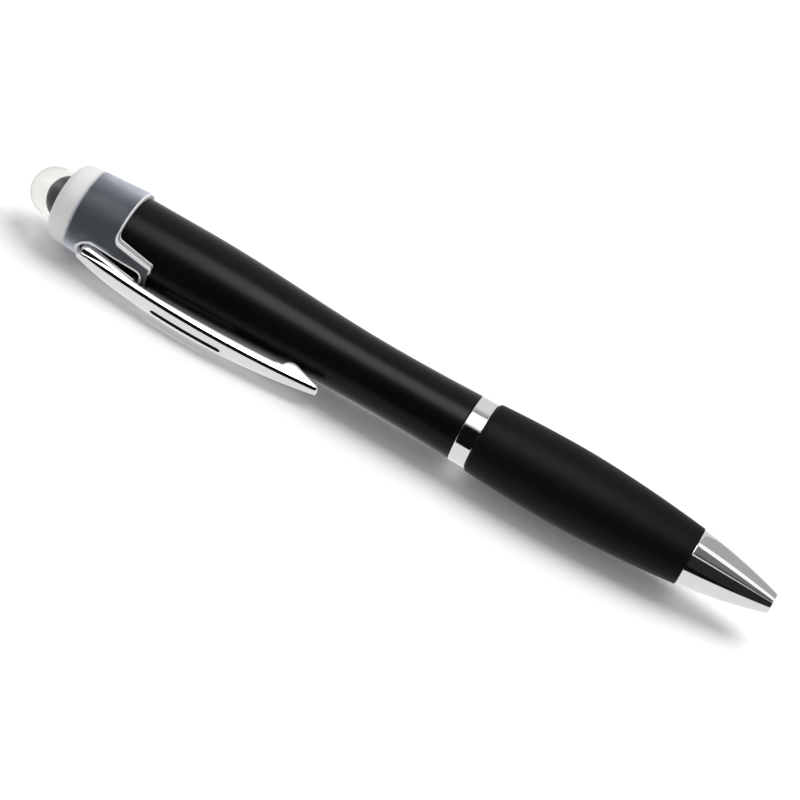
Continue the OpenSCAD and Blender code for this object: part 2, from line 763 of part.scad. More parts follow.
// Cutter of one slot: the lug's way in the cam while the barrel turns
module helical_slot() {
    inner = cam_bore_r - past / 2;
    outer = cam_r + past;
    corners = [[-slot_half, inner], [slot_half, inner], [slot_half, outer], [-slot_half, outer]];
    skin([for (i = [0 : slot_steps])
        let (a = -twist_angle * i / slot_steps, x = lug_x + refill_travel * i / slot_steps)
        [for (c = corners) [x + c[0], -c[1] * sin(a), c[1] * cos(a)]]]);
    for (turned = [0, 1]) rotate([-twist_angle * turned, 0, 0])
        translate([lug_x + refill_travel * turned, 0, inner])
            cylinder(r = lug_r + run_gap, h = outer - inner);
}

module guide_sleeve() {
    slot_length = refill_travel + 2 * (lug_r + free_gap);
    slot_width = 2 * (lug_r + run_gap);
    color([0.75, 0.75, 0.75]) lay_down() difference() {
        tube(guide_x, guide_end_x - guide_x, guide_r, guide_bore_r);
        for (k = [1 : lug_count]) rotate([360 * k / lug_count, 0, 0])
            translate([lug_x - lug_r - free_gap, -slot_width / 2, guide_bore_r / 2])
                cube([slot_length, slot_width, guide_r]);
    }
}

module refill_carrier() {
    color([0.85, 0.85, 0.85]) lay_down() difference() {
        union() {
            rod(carrier_x, carrier_end_x - carrier_x, carrier_r);
            for (k = [1 : lug_count]) rotate([360 * k / lug_count, 0, 0])
                translate([lug_x, 0, 0]) cylinder(r = lug_r, h = lug_top_r);
        }
        rod(socket_x, carrier_end_x - socket_x + past, tube_r + seat_gap);
    }
}

module trim_ring() {
    edge = 0.25;
    bore = spigot_r + seat_gap;
    color([0.82, 0.82, 0.84]) lay_down() revolve(concat(
        [[bore, ring_x]],
        edge_arc(ring_r - edge, ring_x + edge, edge, -90, 0),
        edge_arc(ring_r - edge, grip_x - edge, edge, 0, 90),
        [[bore, grip_x]]
    ));
}

module grip_core() {
    bead_r = spigot_r + bead_h;
    flange_end_x = grip_x + core_flange_t;
    socket_x = nose_x - nose_spigot - end_gap;
    color([0.12, 0.12, 0.12]) lay_down() revolve([
        [core_bore_r, spigot_x], [spigot_r, spigot_x], [spigot_r, bead_x - bead_slope], [bead_r, bead_x],
        [bead_r, bead_x + bead_w], [spigot_r, bead_x + bead_w + bead_slope], [spigot_r, grip_x],
        [core_flange_r, grip_x], [core_flange_r, flange_end_x], [core_tube_r, flange_end_x],
        [core_tube_r, nose_x], [nose_socket_r, nose_x], [nose_socket_r, socket_x], [core_bore_r, socket_x]
    ]);
}

module rubber_grip() {
    step_x = grip_x + core_flange_t + seat_gap;
    curve_x = grip_x + grip_edge;
    front_edge = 0.2;
    color([0.05, 0.05, 0.05]) lay_down() revolve(concat(
        [[core_flange_r + seat_gap, grip_x]],
        edge_arc(grip_outer(curve_x) - grip_edge, curve_x, grip_edge, -90, 0),
        [for (x = stations(curve_x, nose_x - front_edge, curve_steps)) [grip_outer(x), x]],
        [[grip_front_r - front_edge, nose_x], [core_tube_r + seat_gap, nose_x]],
        [[core_tube_r + seat_gap, step_x], [core_flange_r + seat_gap, step_x]]
    ));
}

module nose_cone() {
    edge = 0.2;
    socket_x = nose_x - nose_spigot;
    color([0.82, 0.82, 0.84]) lay_down() revolve(concat(
        [[spigot_bore_r, socket_x], [nose_spigot_r, socket_x], [nose_spigot_r, nose_x]],
        [for (x = stations(nose_x, pen_length - edge, curve_steps / 2)) [nose_outer(x), x]],
        [[nose_end_r - edge, pen_length], [nose_bore_r, pen_length], [nose_bore_r, shoulder_x]],
        [[chamber_r, shoulder_x], [chamber_r, chamber_x], [spigot_bore_r, chamber_x]]
    ));
}

module return_spring() {
    first_x = tube_end_x + wire_d / 2 + end_gap;
    last_x = shoulder_x - wire_d / 2 - end_gap;
    color("silver") lay_down() coil("return_spring", first_x, last_x, spring_r, spring_r, spring_curls);
}

module refill_tube() {
    collar_x = tube_end_x - collar_t;
    color([0.9, 0.9, 0.9, 0.6]) lay_down() revolve([
        [tube_bore_r, tube_x], [tube_r, tube_x], [tube_r, collar_x], [collar_r, collar_x],
        [collar_r, tube_end_x], [tube_bore_r, tube_end_x]
    ]);
}

module ink() {
    color([0.02, 0.02, 0.08]) lay_down()
        rod(tube_x + ink_gap, tube_end_x - stub_length - tube_x - ink_gap, tube_bore_r - seat_gap);
}

// The point ends in a crimped rim, a little narrower than the ball that it holds
module refill_tip() {
    stub_x = tube_end_x - stub_length;
    color([0.8, 0.62, 0.25]) lay_down() revolve(concat(
        [[0, stub_x], [stub_r, stub_x], [stub_r, tube_end_x], [tip_r, tube_end_x], [tip_r, tip_cone_x]],
        [[tip_end_r, tip_end_x]],
        edge_arc(0, ball_x, ball_seat_r, rim_a, -90)
    ));
}

module tip_ball() {
    color([0.5, 0.5, 0.52]) lay_down() translate([ball_x, 0, 0]) sphere(tip_ball_r);
}

stylus_tip();
stylus_plunger();
switch_button();
end_cap();
upper_barrel();
pocket_clip();
switch_housing();
circuit_board();
rear_contact();
battery_sleeve();
button_cells();
contact_spring();
contact_strip();
led();
led_leads();
twist_cam();
guide_sleeve();
refill_carrier();
trim_ring();
grip_core();
rubber_grip();
nose_cone();
return_spring();
refill_tube();
ink();
refill_tip();
tip_ball();
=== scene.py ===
import json
import math

import bmesh
import bpy
from mathutils import Matrix, Vector


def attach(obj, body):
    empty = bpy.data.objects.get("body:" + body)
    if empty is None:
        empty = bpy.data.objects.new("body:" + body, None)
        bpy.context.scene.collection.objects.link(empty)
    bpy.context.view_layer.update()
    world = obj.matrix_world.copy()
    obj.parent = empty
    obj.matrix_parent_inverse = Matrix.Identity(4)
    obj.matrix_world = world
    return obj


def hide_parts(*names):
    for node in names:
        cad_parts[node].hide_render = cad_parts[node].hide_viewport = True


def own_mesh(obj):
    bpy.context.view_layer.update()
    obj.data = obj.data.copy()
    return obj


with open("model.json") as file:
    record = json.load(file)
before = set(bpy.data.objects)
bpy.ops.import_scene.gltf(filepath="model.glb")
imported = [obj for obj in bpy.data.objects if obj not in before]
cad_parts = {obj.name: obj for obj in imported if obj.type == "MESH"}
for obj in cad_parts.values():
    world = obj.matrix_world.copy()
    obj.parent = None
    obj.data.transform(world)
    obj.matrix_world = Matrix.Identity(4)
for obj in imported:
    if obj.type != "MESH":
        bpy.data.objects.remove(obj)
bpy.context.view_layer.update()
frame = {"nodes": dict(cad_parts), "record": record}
nodes = frame["nodes"]
scene = bpy.context.scene

# Sizes are in millimetres, in the pen frame: x runs along the axis from the end of the CAD's dome,
# z points out to the clip, and y goes across it. TO_FRAME takes a point to the shared frame.
MM = 0.001
PEN_LENGTH = 141.8
AXIS_Y, AXIS_Z, CLIP_DIP = 0.974949, 7.8, math.radians(34.1556)
TO_FRAME = (Matrix.Scale(MM, 4) @ Matrix.Translation((-PEN_LENGTH / 2, AXIS_Y, AXIS_Z))
            @ Matrix.Rotation(math.pi / 2 + CLIP_DIP, 4, "X"))

# Gaps beside pieces that sit tight and beside pieces that move
SEAT_GAP, FREE_GAP = 0.05, 0.15

# Stylus button: the dome is pressed onto the core's ball
STYLUS_R, SKIRT_X, DOME_OUT = 4.3, 8.8, 0.5
CORE_R, CORE_X, CORE_PRESS = 2.7, 5.65, 0.03
FLANGE_GAP, FLANGE_T = 0.25, 1.4

# End cap, with a window for the clip's tab and a tongue over the barrel
CAP_X, CAP_WALL_X, CAP_EDGE_X = 5.8, 10.0, 18.6
CAP_R, CAP_EDGE_R, CAP_ROUND = 6.9, 7.8, 2.0
CHAMFER, FLARE = 0.2, 0.1
CHAMFER_X = CAP_EDGE_X - CHAMFER
WINDOW_X, WINDOW_LENGTH, WINDOW_W = CAP_X + 6.8, 12.0, 6.4
WINDOW_CORNER, WINDOW_ROOT_R, WINDOW_MARGIN, WINDOW_WALL = 0.8, 3.1, 0.1, 0.3
RIM_WIDTH, RIM_DEPTH = 0.55, 0.03
TONGUE_LENGTH, TONGUE_HALF_W, TONGUE_CORNER = 7.5, 5.0, 0.4
TONGUE_ROOT_HALF_W, TONGUE_FILLET = 5.7, 0.9
TONGUE_EASE, TONGUE_SINK, TONGUE_FOOT = 1.7, 0.002, 0.1

# Upper barrel, its bore, and the hole that the clip's foot turns in
TAIL_X, CURVE_X, WAIST_X, JOINT_X = 10.05, 29.8, 67.8, 83.7
NECK_R, BARREL_R, WAIST_R, JOINT_R, BORE_R = 6.5, 7.03, 5.65, 5.95, 5.1
SPIGOT_R = 4.55
CAM_GAP, CAM_STOP, GROOVE_DEPTH = 0.1, 0.45, 0.5
BORE_END_X, CAM_X, GROOVE_X, GROOVE_END_X = 42.4, 62.2474, 78.25, 80.05
FOOT_X, FOOT_Z, FOOT_R, FOOT_HALF_W = 14.0, 6.75, 0.45, 1.5
FOOT_HOLE_R, FOOT_HOLE_HALF_W = 0.55, 1.65

# Pocket clip
CLIP_X, CLIP_END_X, CLIP_WIDE_X = 13.1, 59.7, 33.5
CLIP_MIDDLE_X, CLIP_HALF = (CLIP_X + CLIP_END_X) / 2, (CLIP_END_X - CLIP_X) / 2
CLIP_FACE_R, CLIP_LOW_R, CLIP_FACE_BOW, CLIP_LIP_BOW = 10.13, 8.52, 1.85, 1.6
CLIP_W, CLIP_END_W, CLIP_TIP_H = 5.6, 2.5, 0.7
CLIP_CROWN, CLIP_BEVEL, CLIP_SHEET, CLIP_SOFT = 0.42, 0.45, 0.6, 0.05
CLIP_ROOT, CLIP_ROOT_SHARE, CLIP_TIP, CLIP_TIP_SHARE = 8, 0.15, 0.5, 0.85
EDGE_X, EDGE_RUN, EDGE_ROOT, EDGE_GROWTH, EDGE_BUMP, EDGE_SHARE = 24, 5, 0.1, 0.25, 0.12, 0.6
LIP_SHARE, HOLLOW_START, HOLLOW_FADE, HOLLOW_SIDE_SHARE = 0.45, 1.5, 5, 0.4
BUMP_R, BUMP_X = 1.9, 54.55
SLOT_X, SLOT_LENGTH, SLOT_W, SLOT_ROUND = CLIP_X + 15.8, 13.6, 1.25, 0.624
TAB_X, TAB_END_X, TAB_T = FOOT_X - 0.3, WINDOW_X + WINDOW_LENGTH - 0.45, 1.13
TAB_LOW_X, TAB_LOW_Z, TAB_RISE = 17.6, 6.76, 0.17
TAB_SPREAD, TAB_SIDE_GAP, TAB_OVERLAP, TAB_LOW_GAP = 0.06, 0.3, 0.15, 0.12
STEM_T, STEM_HALF_W, STEM_OVERLAP = 0.6, 1.0, 0.4

# Trim ring, grip and nose
RING_X, GRIP_X, NOSE_X = 83.8, 87.0, 126.4
RING_R = 5.98
GRIP_BELLY, GRIP_BELLY_R, GRIP_REAR_R, GRIP_FRONT_R, GRIP_TAPER = 15.8, 6.84, 6.29, 5.2, 1.7
GRIP_STEP, GRIP_STEP_R, GRIP_BORE_R = 1.25, 5.45, 4.55
NOSE_BASE_R, NOSE_END_R, NOSE_BULGE = 5.06, 1.79, 0.35
NOSE_SPIGOT, NOSE_SPIGOT_R, NOSE_SPIGOT_BORE = 7, 3.65, 2.9
CHAMBER, CHAMBER_R, TIP_BORE, TIP_BORE_R = 1.4, 2.3, 5, 1.25

# Refill point and springs
POINT_X, POINT_R, POINT_CONE, POINT_END_R = 126.6, 1.15, 3.8, 0.41
SHANK, SHANK_R, POINT_INSET = 3, 1.0, 1.4
BALL_R, SEAT_R, SEAT_RIM_R = 0.35, 0.4, 0.33
WIRE_R = 0.2
POINT_SPRING_R, POINT_SPRING_CURLS, POINT_SPRING_GAP = 1.75, 8, 0.3
CELL_SPRING_X, CELL_SPRING_END_X, CELL_SPRING_GAP = 29.05, 31.65, 0.25
CELL_SPRING_R, CELL_SPRING_END_R, CELL_SPRING_CURLS = 1.975, 3.16, 2.5

# Faces round the axis, and the least angle in degrees between faces that makes a sharp edge
SEGMENTS, FINE_SEGMENTS = 144, 160
SHARP, FINE_SHARP, CLIP_SHARP, WIRE_SHARP = 32, 30, 28, 60
POLE_R, WELD = 1e-6, 0.001 * MM


# Mesh building

def make(name, bm):
    """A new object from a bmesh in the pen frame, moved to the shared frame."""
    bmesh.ops.transform(bm, matrix=TO_FRAME, verts=bm.verts)
    bmesh.ops.recalc_face_normals(bm, faces=bm.faces)
    mesh = bpy.data.meshes.new(name)
    bm.to_mesh(mesh)
    bm.free()
    piece = bpy.data.objects.new(name, mesh)
    scene.collection.objects.link(piece)
    return piece


def smooth(piece, angle=SHARP):
    piece.data.shade_smooth()
    piece.data.set_sharp_from_angle(angle=math.radians(angle))
    return piece


def steps(a, b, count):
    return [a + (b - a) * i / count for i in range(count + 1)]


def rounded(corners, count=6):
    """Points of a profile whose corners (r, x, fillet) are rounded, with count steps each."""
    points = []
    for i, (r, x, fillet) in enumerate(corners):
        here = Vector((r, x))
        if not fillet or i in (0, len(corners) - 1):
            points.append((r, x))
            continue
        before = (Vector(corners[i - 1][:2]) - here).normalized()
        after = (Vector(corners[i + 1][:2]) - here).normalized()
        half = before.angle(after) / 2
        reach = fillet / math.tan(half)
        middle = here + (before + after).normalized() * (fillet / math.sin(half))
        start = (here + before * reach - middle).normalized()
        end = (here + after * reach - middle).normalized()
        points += [tuple(middle + start.slerp(end, k / count) * fillet) for k in range(count + 1)]
    return points


def ball_arc(radius, centre, start, end, count):
    """Profile points of a ball about the axis, with angles counted from its end towards the tail."""
    return [(radius * math.sin(a), centre - radius * math.cos(a)) for a in steps(start, end, count)]


def on(outer, x):
    """A sharp corner of a profile on the surface whose radius outer gives."""
    return outer(x), x, 0


def along_surface(outer, places):
    return [(outer(x), x) for x in places]


def lathe_mesh(profile, closed, segments=SEGMENTS):
    """Turns a profile of (r, x) points about the axis. A point at r = 0 becomes a pole."""
    turns = [2 * math.pi * k / segments for k in range(segments)]
    bm = bmesh.new()
    rings = []
    for r, x in profile:
        if r < POLE_R:
            rings.append([bm.verts.new((x, 0, 0))])
        else:
            rings.append([bm.verts.new((x, r * math.cos(a), r * math.sin(a))) for a in turns])
    pairs = list(zip(rings, rings[1:])) + ([(rings[-1], rings[0])] if closed else [])
    for a, b in pairs:
        for k in range(segments):
            n = (k + 1) % segments
            corner = [a[k % len(a)], a[n % len(a)], b[n % len(b)], b[k % len(b)]]
            unique = list(dict.fromkeys(corner))
            if len(unique) > 2:
                bm.faces.new(unique)
    return bm


def lathe(name, profile, closed=True, segments=SEGMENTS, angle=SHARP):
    return smooth(make(name, lathe_mesh(profile, closed, segments)), angle)


def ring_walls(rings):
    """A bmesh with walls between equal rings of points, and its vertices ring by ring."""
    bm = bmesh.new()
    grid = [[bm.verts.new(p) for p in ring] for ring in rings]
    for a, b in zip(grid, grid[1:]):
        for j in range(len(a)):
            n = (j + 1) % len(a)
            bm.faces.new((a[j], a[n], b[n], b[j]))
    return bm, grid


def loft_mesh(rings):
    """Closed skin over equal rings of points that are mirror images about y = 0."""
    bm, grid = ring_walls(rings)
    count = len(rings[0])
    for ring in (grid[0], grid[-1]):
        for j in range((count + 1) // 2 - 1):
            low, high = j, count - 1 - j
            if high - low > 2:
                bm.faces.new((ring[low], ring[low + 1], ring[high - 1], ring[high]))
            else:
                bm.faces.new((ring[low], ring[low + 1], ring[high]))
    return bm


def skin_mesh(rings):
    """Closed skin over equal rings of points, with one face at each end."""
    bm, grid = ring_walls(rings)
    bm.faces.new(grid[0])
    bm.faces.new(grid[-1])
    return bm


def prism_mesh(outline, low_z, high_z):
    return skin_mesh([level(outline, low_z), level(outline, high_z)])


def box_mesh(low, high):
    bm = bmesh.new()
    bmesh.ops.create_cube(bm, size=1)
    for v in bm.verts:
        v.co = [low[i] + (v.co[i] + 0.5) * (high[i] - low[i]) for i in range(3)]
    return bm


def rod_y_mesh(x, z, radius, half):
    """A rod across the pen, from y = -half to half."""
    bm = bmesh.new()
    bmesh.ops.create_cone(bm, cap_ends=True, segments=32, radius1=radius, radius2=radius, depth=2 * half)
    bmesh.ops.rotate(bm, matrix=Matrix.Rotation(math.pi / 2, 3, "X"), verts=bm.verts)
    bmesh.ops.translate(bm, vec=(x, 0, z), verts=bm.verts)
    return bm


def coil(name, x, end_x, r, end_r, curls):
    """Coil of round wire about the axis."""
    per_curl, sides = 32, 12
    count = round(curls * per_curl)
    rings = []
    for i in range(count + 1):
        s, a = i / count, 2 * math.pi * i / per_curl
        ring = []
        for k in range(sides):
            b = 2 * math.pi * k / sides
            out = r + (end_r - r) * s + WIRE_R * math.cos(b)
            ring.append((x + (end_x - x) * s + WIRE_R * math.sin(b), out * math.cos(a), out * math.sin(a)))
        rings.append(ring)
    return smooth(make(name, skin_mesh(rings)), WIRE_SHARP)


def apply_modifiers(piece):
    bpy.context.view_layer.update()
    mesh = bpy.data.meshes.new_from_object(piece.evaluated_get(bpy.context.evaluated_depsgraph_get()))
    piece.modifiers.clear()
    piece.data = mesh


def join_piece(piece, operation, tool):
    """Applies one boolean to piece and removes the tool."""
    modifier = piece.modifiers.new("combine", "BOOLEAN")
    modifier.operation, modifier.object, modifier.solver = operation, tool, "EXACT"
    apply_modifiers(piece)
    bpy.data.objects.remove(tool)


def combine(piece, operation, bm):
    join_piece(piece, operation, make("tool", bm))


def weld(piece):
    """Joins points that booleans left closer than WELD, drops fins and closes what that opens."""
    bm = bmesh.new()
    bm.from_mesh(piece.data)
    bmesh.ops.remove_doubles(bm, verts=bm.verts, dist=WELD)
    bmesh.ops.dissolve_degenerate(bm, edges=bm.edges, dist=WELD / 2)
    bmesh.ops.triangulate(bm, faces=[face for face in bm.faces if len(face.verts) > 4])
    twins = {}
    for face in bm.faces:
        twins.setdefault(frozenset(face.verts), []).append(face)
    fins = [face for group in twins.values() if len(group) > 1 for face in group]
    bmesh.ops.delete(bm, geom=fins, context="FACES_ONLY")
    bmesh.ops.delete(bm, geom=[edge for edge in bm.edges if not edge.link_faces], context="EDGES")
    bmesh.ops.holes_fill(bm, edges=[edge for edge in bm.edges if edge.is_boundary], sides=0)
    bmesh.ops.recalc_face_normals(bm, faces=bm.faces)
    bm.to_mesh(piece.data)
    bm.free()
    return piece


def mark(piece, shader, test):
    """Gives a further material to the faces for which test(middle, normal) holds in the pen frame."""
    piece.data.materials.append(shader)
    to_pen = TO_FRAME.inverted()
    turn = to_pen.to_3x3().normalized()
    for face in piece.data.polygons:
        if test(to_pen @ face.center, (turn @ face.normal).normalized()):
            face.material_index = len(piece.data.materials) - 1


# Outlines, as (x, y) points seen from the clip's side

def quarter(x, y, radius, start, turn, count):
    """Points of a quarter circle from the angle start on. turn is 90 or -90 degrees."""
    angles = [math.radians(start + turn * k / count) for k in range(count + 1)]
    return [(x + radius * math.cos(a), y + radius * math.sin(a)) for a in angles]


def stadium(x, length, width, radius, root_radius):
    """A rectangle along the pen with rounded corners, those at its start by root_radius."""
    points = []
    for at_end, side, start in ((1, 1, 0), (0, 1, 90), (0, -1, 180), (1, -1, 270)):
        r = radius if at_end else root_radius
        points += quarter(x + length - r if at_end else x + r, side * (width / 2 - r), r, start, 90, 12)
    return points


def window_outline(out):
    """The cap's window, round at the clip's root, that much larger all round."""
    return stadium(WINDOW_X - out, WINDOW_LENGTH + 2 * out, WINDOW_W + 2 * out, WINDOW_CORNER + out,
                   WINDOW_ROOT_R + out)


def tongue_outline(inset):
    """The cap's tongue, rounded at its end and at the cap's edge, that much smaller all round."""
    fillet_y = TONGUE_ROOT_HALF_W + TONGUE_FILLET
    side = [(CAP_EDGE_X - 2, fillet_y)]
    side += quarter(CAP_EDGE_X + TONGUE_FILLET, fillet_y, TONGUE_FILLET + inset, 180, 90, 8)
    side += quarter(CAP_EDGE_X + TONGUE_LENGTH - TONGUE_CORNER, TONGUE_HALF_W - TONGUE_CORNER,
                    TONGUE_CORNER - inset, 90, -90, 8)
    return side + [(x, -y) for x, y in reversed(side)]


def level(outline, z):
    return [(x, y, z) for x, y in outline]


def wrapped(outline, depth):
    """The outline laid round the pen, that deep under the cap's outside."""
    return [(x, y, math.sqrt((cap_outer(x) - depth) ** 2 - y * y)) for x, y in outline]


# Outer radii along the pen

def cap_outer(x):
    return CAP_R + (CAP_EDGE_R - CAP_R) * min(1, (x - CAP_X) / (CAP_EDGE_X - CAP_X))


def cap_skin(x):
    """The cap and its tongue, which goes on from the cap's cone and levels out."""
    if x < CHAMFER_X:
        return cap_outer(x)
    t, slope = min(x - CHAMFER_X, TONGUE_EASE), (CAP_EDGE_R - CAP_R) / (CAP_EDGE_X - CAP_X)
    return cap_outer(CHAMFER_X) - TONGUE_SINK + slope * t * (1 - t / (2 * TONGUE_EASE))


def barrel_outer(x):
    if x < CURVE_X:
        return BARREL_R
    if x < WAIST_X:
        wave = math.cos(math.pi * (x - CURVE_X) / (WAIST_X - CURVE_X))
        return WAIST_R + (BARREL_R - WAIST_R) * (1 + wave) / 2
    return WAIST_R + (JOINT_R - WAIST_R) * ((x - WAIST_X) / (JOINT_X - WAIST_X)) ** 2


def grip_outer(x):
    belly_x = GRIP_X + GRIP_BELLY
    if x < belly_x:
        return GRIP_BELLY_R - (GRIP_BELLY_R - GRIP_REAR_R) * ((belly_x - x) / GRIP_BELLY) ** 2
    return GRIP_BELLY_R - (GRIP_BELLY_R - GRIP_FRONT_R) * ((x - belly_x) / (NOSE_X - belly_x)) ** GRIP_TAPER


def nose_outer(x):
    s = (x - NOSE_X) / (PEN_LENGTH - NOSE_X)
    return NOSE_BASE_R + (NOSE_END_R - NOSE_BASE_R) * s + 4 * NOSE_BULGE * s * (1 - s)


# Sections of the clip

def clip_round(x):
    """Share of the clip's width that is left where its root and its tip round off."""
    root, tip = max(0, 1 - (x - CLIP_X) / CLIP_ROOT), max(0, 1 - (CLIP_END_X - x) / CLIP_TIP)
    root_share = CLIP_ROOT_SHARE + (1 - CLIP_ROOT_SHARE) * math.sqrt(max(0, 1 - root * root))
    return root_share * (CLIP_TIP_SHARE + (1 - CLIP_TIP_SHARE) * math.sqrt(max(0, 1 - tip * tip)))


def clip_half_w(x):
    side = (x - CLIP_WIDE_X) / (CLIP_END_X - CLIP_WIDE_X)
    return (CLIP_W - (CLIP_W - CLIP_END_W) * side * side) / 2 * clip_round(x)


def clip_face(x):
    """Height of the face along its edges."""
    return CLIP_FACE_R - CLIP_FACE_BOW * ((x - CLIP_MIDDLE_X) / CLIP_HALF) ** 2


def clip_crest(x):
    """Height of the face along its crowned middle."""
    return clip_face(x) + CLIP_CROWN * clip_half_w(x) / (CLIP_W / 2)


def clip_lip(x):
    """Height of the side walls' lower edge before the bump."""
    return CLIP_LOW_R - CLIP_LIP_BOW * ((x - CLIP_WIDE_X) / CLIP_HALF) ** 2


# The bump is a lobe of the side walls, with a straight slant from it to the tip
BUMP_Z = barrel_outer(BUMP_X) + FREE_GAP + BUMP_R
TIP_LOW_Z = clip_face(CLIP_END_X) - CLIP_TIP_H
TIP_FROM_BUMP = Vector((CLIP_END_X - BUMP_X, TIP_LOW_Z - BUMP_Z))
BUMP_END_A = (2 * math.pi + math.atan2(TIP_FROM_BUMP.y, TIP_FROM_BUMP.x)
              - math.acos(BUMP_R / TIP_FROM_BUMP.length))
BUMP_START_A = math.pi + math.asin((BUMP_Z - clip_lip(BUMP_X - BUMP_R)) / BUMP_R)
BUMP_START_X = BUMP_X + BUMP_R * math.cos(BUMP_START_A)
BUMP_END_X = BUMP_X + BUMP_R * math.cos(BUMP_END_A)
BUMP_END_Z = BUMP_Z + BUMP_R * math.sin(BUMP_END_A)


def clip_low(x):
    """Height of the side walls' lower edge from the root to the tip."""
    if x <= BUMP_START_X:
        return clip_lip(x)
    if x <= BUMP_END_X:
        return BUMP_Z - math.sqrt(max(0, BUMP_R ** 2 - (x - BUMP_X) ** 2))
    return BUMP_END_Z + (TIP_LOW_Z - BUMP_END_Z) * (x - BUMP_END_X) / (CLIP_END_X - BUMP_END_X)


def corner_arc(before, corner, after, radius, count=4):
    """Rounds one corner of a section."""
    return rounded([(*before, 0), (*corner, radius), (*after, 0)], count)[1:-1]


def mirrored(x, side):
    """Ring across the pen at x from the (y, z) points of one side. A point at y = 0 comes once."""
    return [(x, -y, z) for y, z in side] + [(x, y, z) for y, z in reversed(side) if y]


def clip_section(x):
    """Ring from the side wall's lower edge over the bevel to the crest and down again."""
    half, face, low = clip_half_w(x), clip_face(x), clip_low(x)
    bevel = min(CLIP_BEVEL, half / 3)
    flat, soft = half - bevel, min(CLIP_SOFT, half / 12)
    edge = EDGE_BUMP
    if x < BUMP_START_X - 1:
        edge = min(EDGE_ROOT + EDGE_GROWTH * min(1, max(0, (x - EDGE_X) / EDGE_RUN)), half / 5)
    crown = [(flat * t, face + (clip_crest(x) - face) * (1 - t * t)) for t in steps(1, 0, 20)]
    wall_low, wall_high, bevel_top = (half, low), (half, face - bevel), (flat, face)
    side = [(half - LIP_SHARE * half, low)]
    side += corner_arc(side[0], wall_low, wall_high, min(edge, (wall_high[1] - low) * EDGE_SHARE))
    side += corner_arc(wall_low, wall_high, bevel_top, soft, 3)
    side += corner_arc(wall_high, bevel_top, crown[2], soft, 3)
    return mirrored(x, side + crown[2:])


def clip_hollow(x):
    """Ring of the hollow under the face, which fades out towards the root and the bump."""
    half = clip_half_w(x) - min(CLIP_SHEET, HOLLOW_SIDE_SHARE * clip_half_w(x))
    low = clip_lip(x)
    fade = min(1, (x - CLIP_X) / HOLLOW_FADE, (BUMP_START_X - x) / HOLLOW_FADE)
    depth = (clip_crest(x) - low - CLIP_SHEET) * fade
    return mirrored(x, [(half, low - 1), (half, low + 0.45 * depth), (0.85 * half, low + 0.8 * depth),
                        (0.6 * half, low + depth)])


def tab_ring(x):
    """Ring of the tab under the clip's root, whose walls lean out a little from a round lower edge."""
    window_half = math.sqrt(WINDOW_ROOT_R ** 2 - max(0, WINDOW_X + WINDOW_ROOT_R - x) ** 2)
    half = min(clip_half_w(TAB_END_X) + TAB_SPREAD, window_half - TAB_SIDE_GAP)
    low = TAB_LOW_Z + TAB_RISE * (x - TAB_LOW_X)
    top = max(low + TAB_T, clip_lip(x) + TAB_OVERLAP)
    return mirrored(x, [
        (half - 0.3, low), (half - 0.22, low + 0.02), (half - 0.16, low + 0.08), (half - 0.14, low + 0.18),
        (half, top - 0.18), (half - 0.02, top - 0.08), (half - 0.14, top)])


def eased(start, end, count):
    """Places that lie closer together towards both ends."""
    return [start + (end - start) * (1 - math.cos(math.pi * i / count)) / 2 for i in range(count + 1)]


# Materials

GRAIN_DETAIL, CLOUD_DETAIL, CLOUD_FROM, CLOUD_TO = 4, 3, 0.35, 0.65
BUMP_DEPTH, LEAST_ROUGH = 0.00005, 0.01


def set_inputs(node, values):
    """Sets inputs by name. An underscore stands for a space."""
    for socket, value in values.items():
        node.inputs[socket.replace("_", " ")].default_value = value


def add_node(tree, kind, **values):
    made = tree.nodes.new("ShaderNode" + kind)
    set_inputs(made, values)
    return made


def new_material(name):
    made = bpy.data.materials.new(name)
    made.use_nodes = True
    return made


def material(name, base, rough, metallic=0.0, grain=None, spots=None, **sockets):
    """Principled material. grain: (scale, bump, rough spread, stretch). spots: (scale, second colour)."""
    made = new_material(name)
    tree, link = made.node_tree, made.node_tree.links.new
    shader = tree.nodes["Principled BSDF"]
    set_inputs(shader, {"Base Color": (*base, 1), "Metallic": metallic, "Roughness": rough, **sockets})
    place = add_node(tree, "TexCoord")
    if grain:
        scale, bump, spread, stretch = grain
        mapping = add_node(tree, "Mapping", Scale=stretch)
        noise = add_node(tree, "TexNoise", Scale=scale, Detail=GRAIN_DETAIL)
        link(place.outputs["Object"], mapping.inputs["Vector"])
        link(mapping.outputs["Vector"], noise.inputs["Vector"])
        uneven = add_node(tree, "MapRange", To_Min=max(LEAST_ROUGH, rough - spread), To_Max=rough + spread)
        link(noise.outputs["Fac"], uneven.inputs["Value"])
        link(uneven.outputs["Result"], shader.inputs["Roughness"])
        if bump:
            raised = add_node(tree, "Bump", Strength=bump, Distance=BUMP_DEPTH)
            link(noise.outputs["Fac"], raised.inputs["Height"])
            link(raised.outputs["Normal"], shader.inputs["Normal"])
    if spots:
        scale, second = spots
        cloud = add_node(tree, "TexNoise", Scale=scale, Detail=CLOUD_DETAIL)
        ramp = add_node(tree, "ValToRGB")
        first_stop, second_stop = ramp.color_ramp.elements
        first_stop.position, second_stop.position = CLOUD_FROM, CLOUD_TO
        first_stop.color, second_stop.color = (*base, 1), (*second, 1)
        link(place.outputs["Object"], cloud.inputs["Vector"])
        link(cloud.outputs["Fac"], ramp.inputs["Fac"])
        link(ramp.outputs["Color"], shader.inputs["Base Color"])
    return made


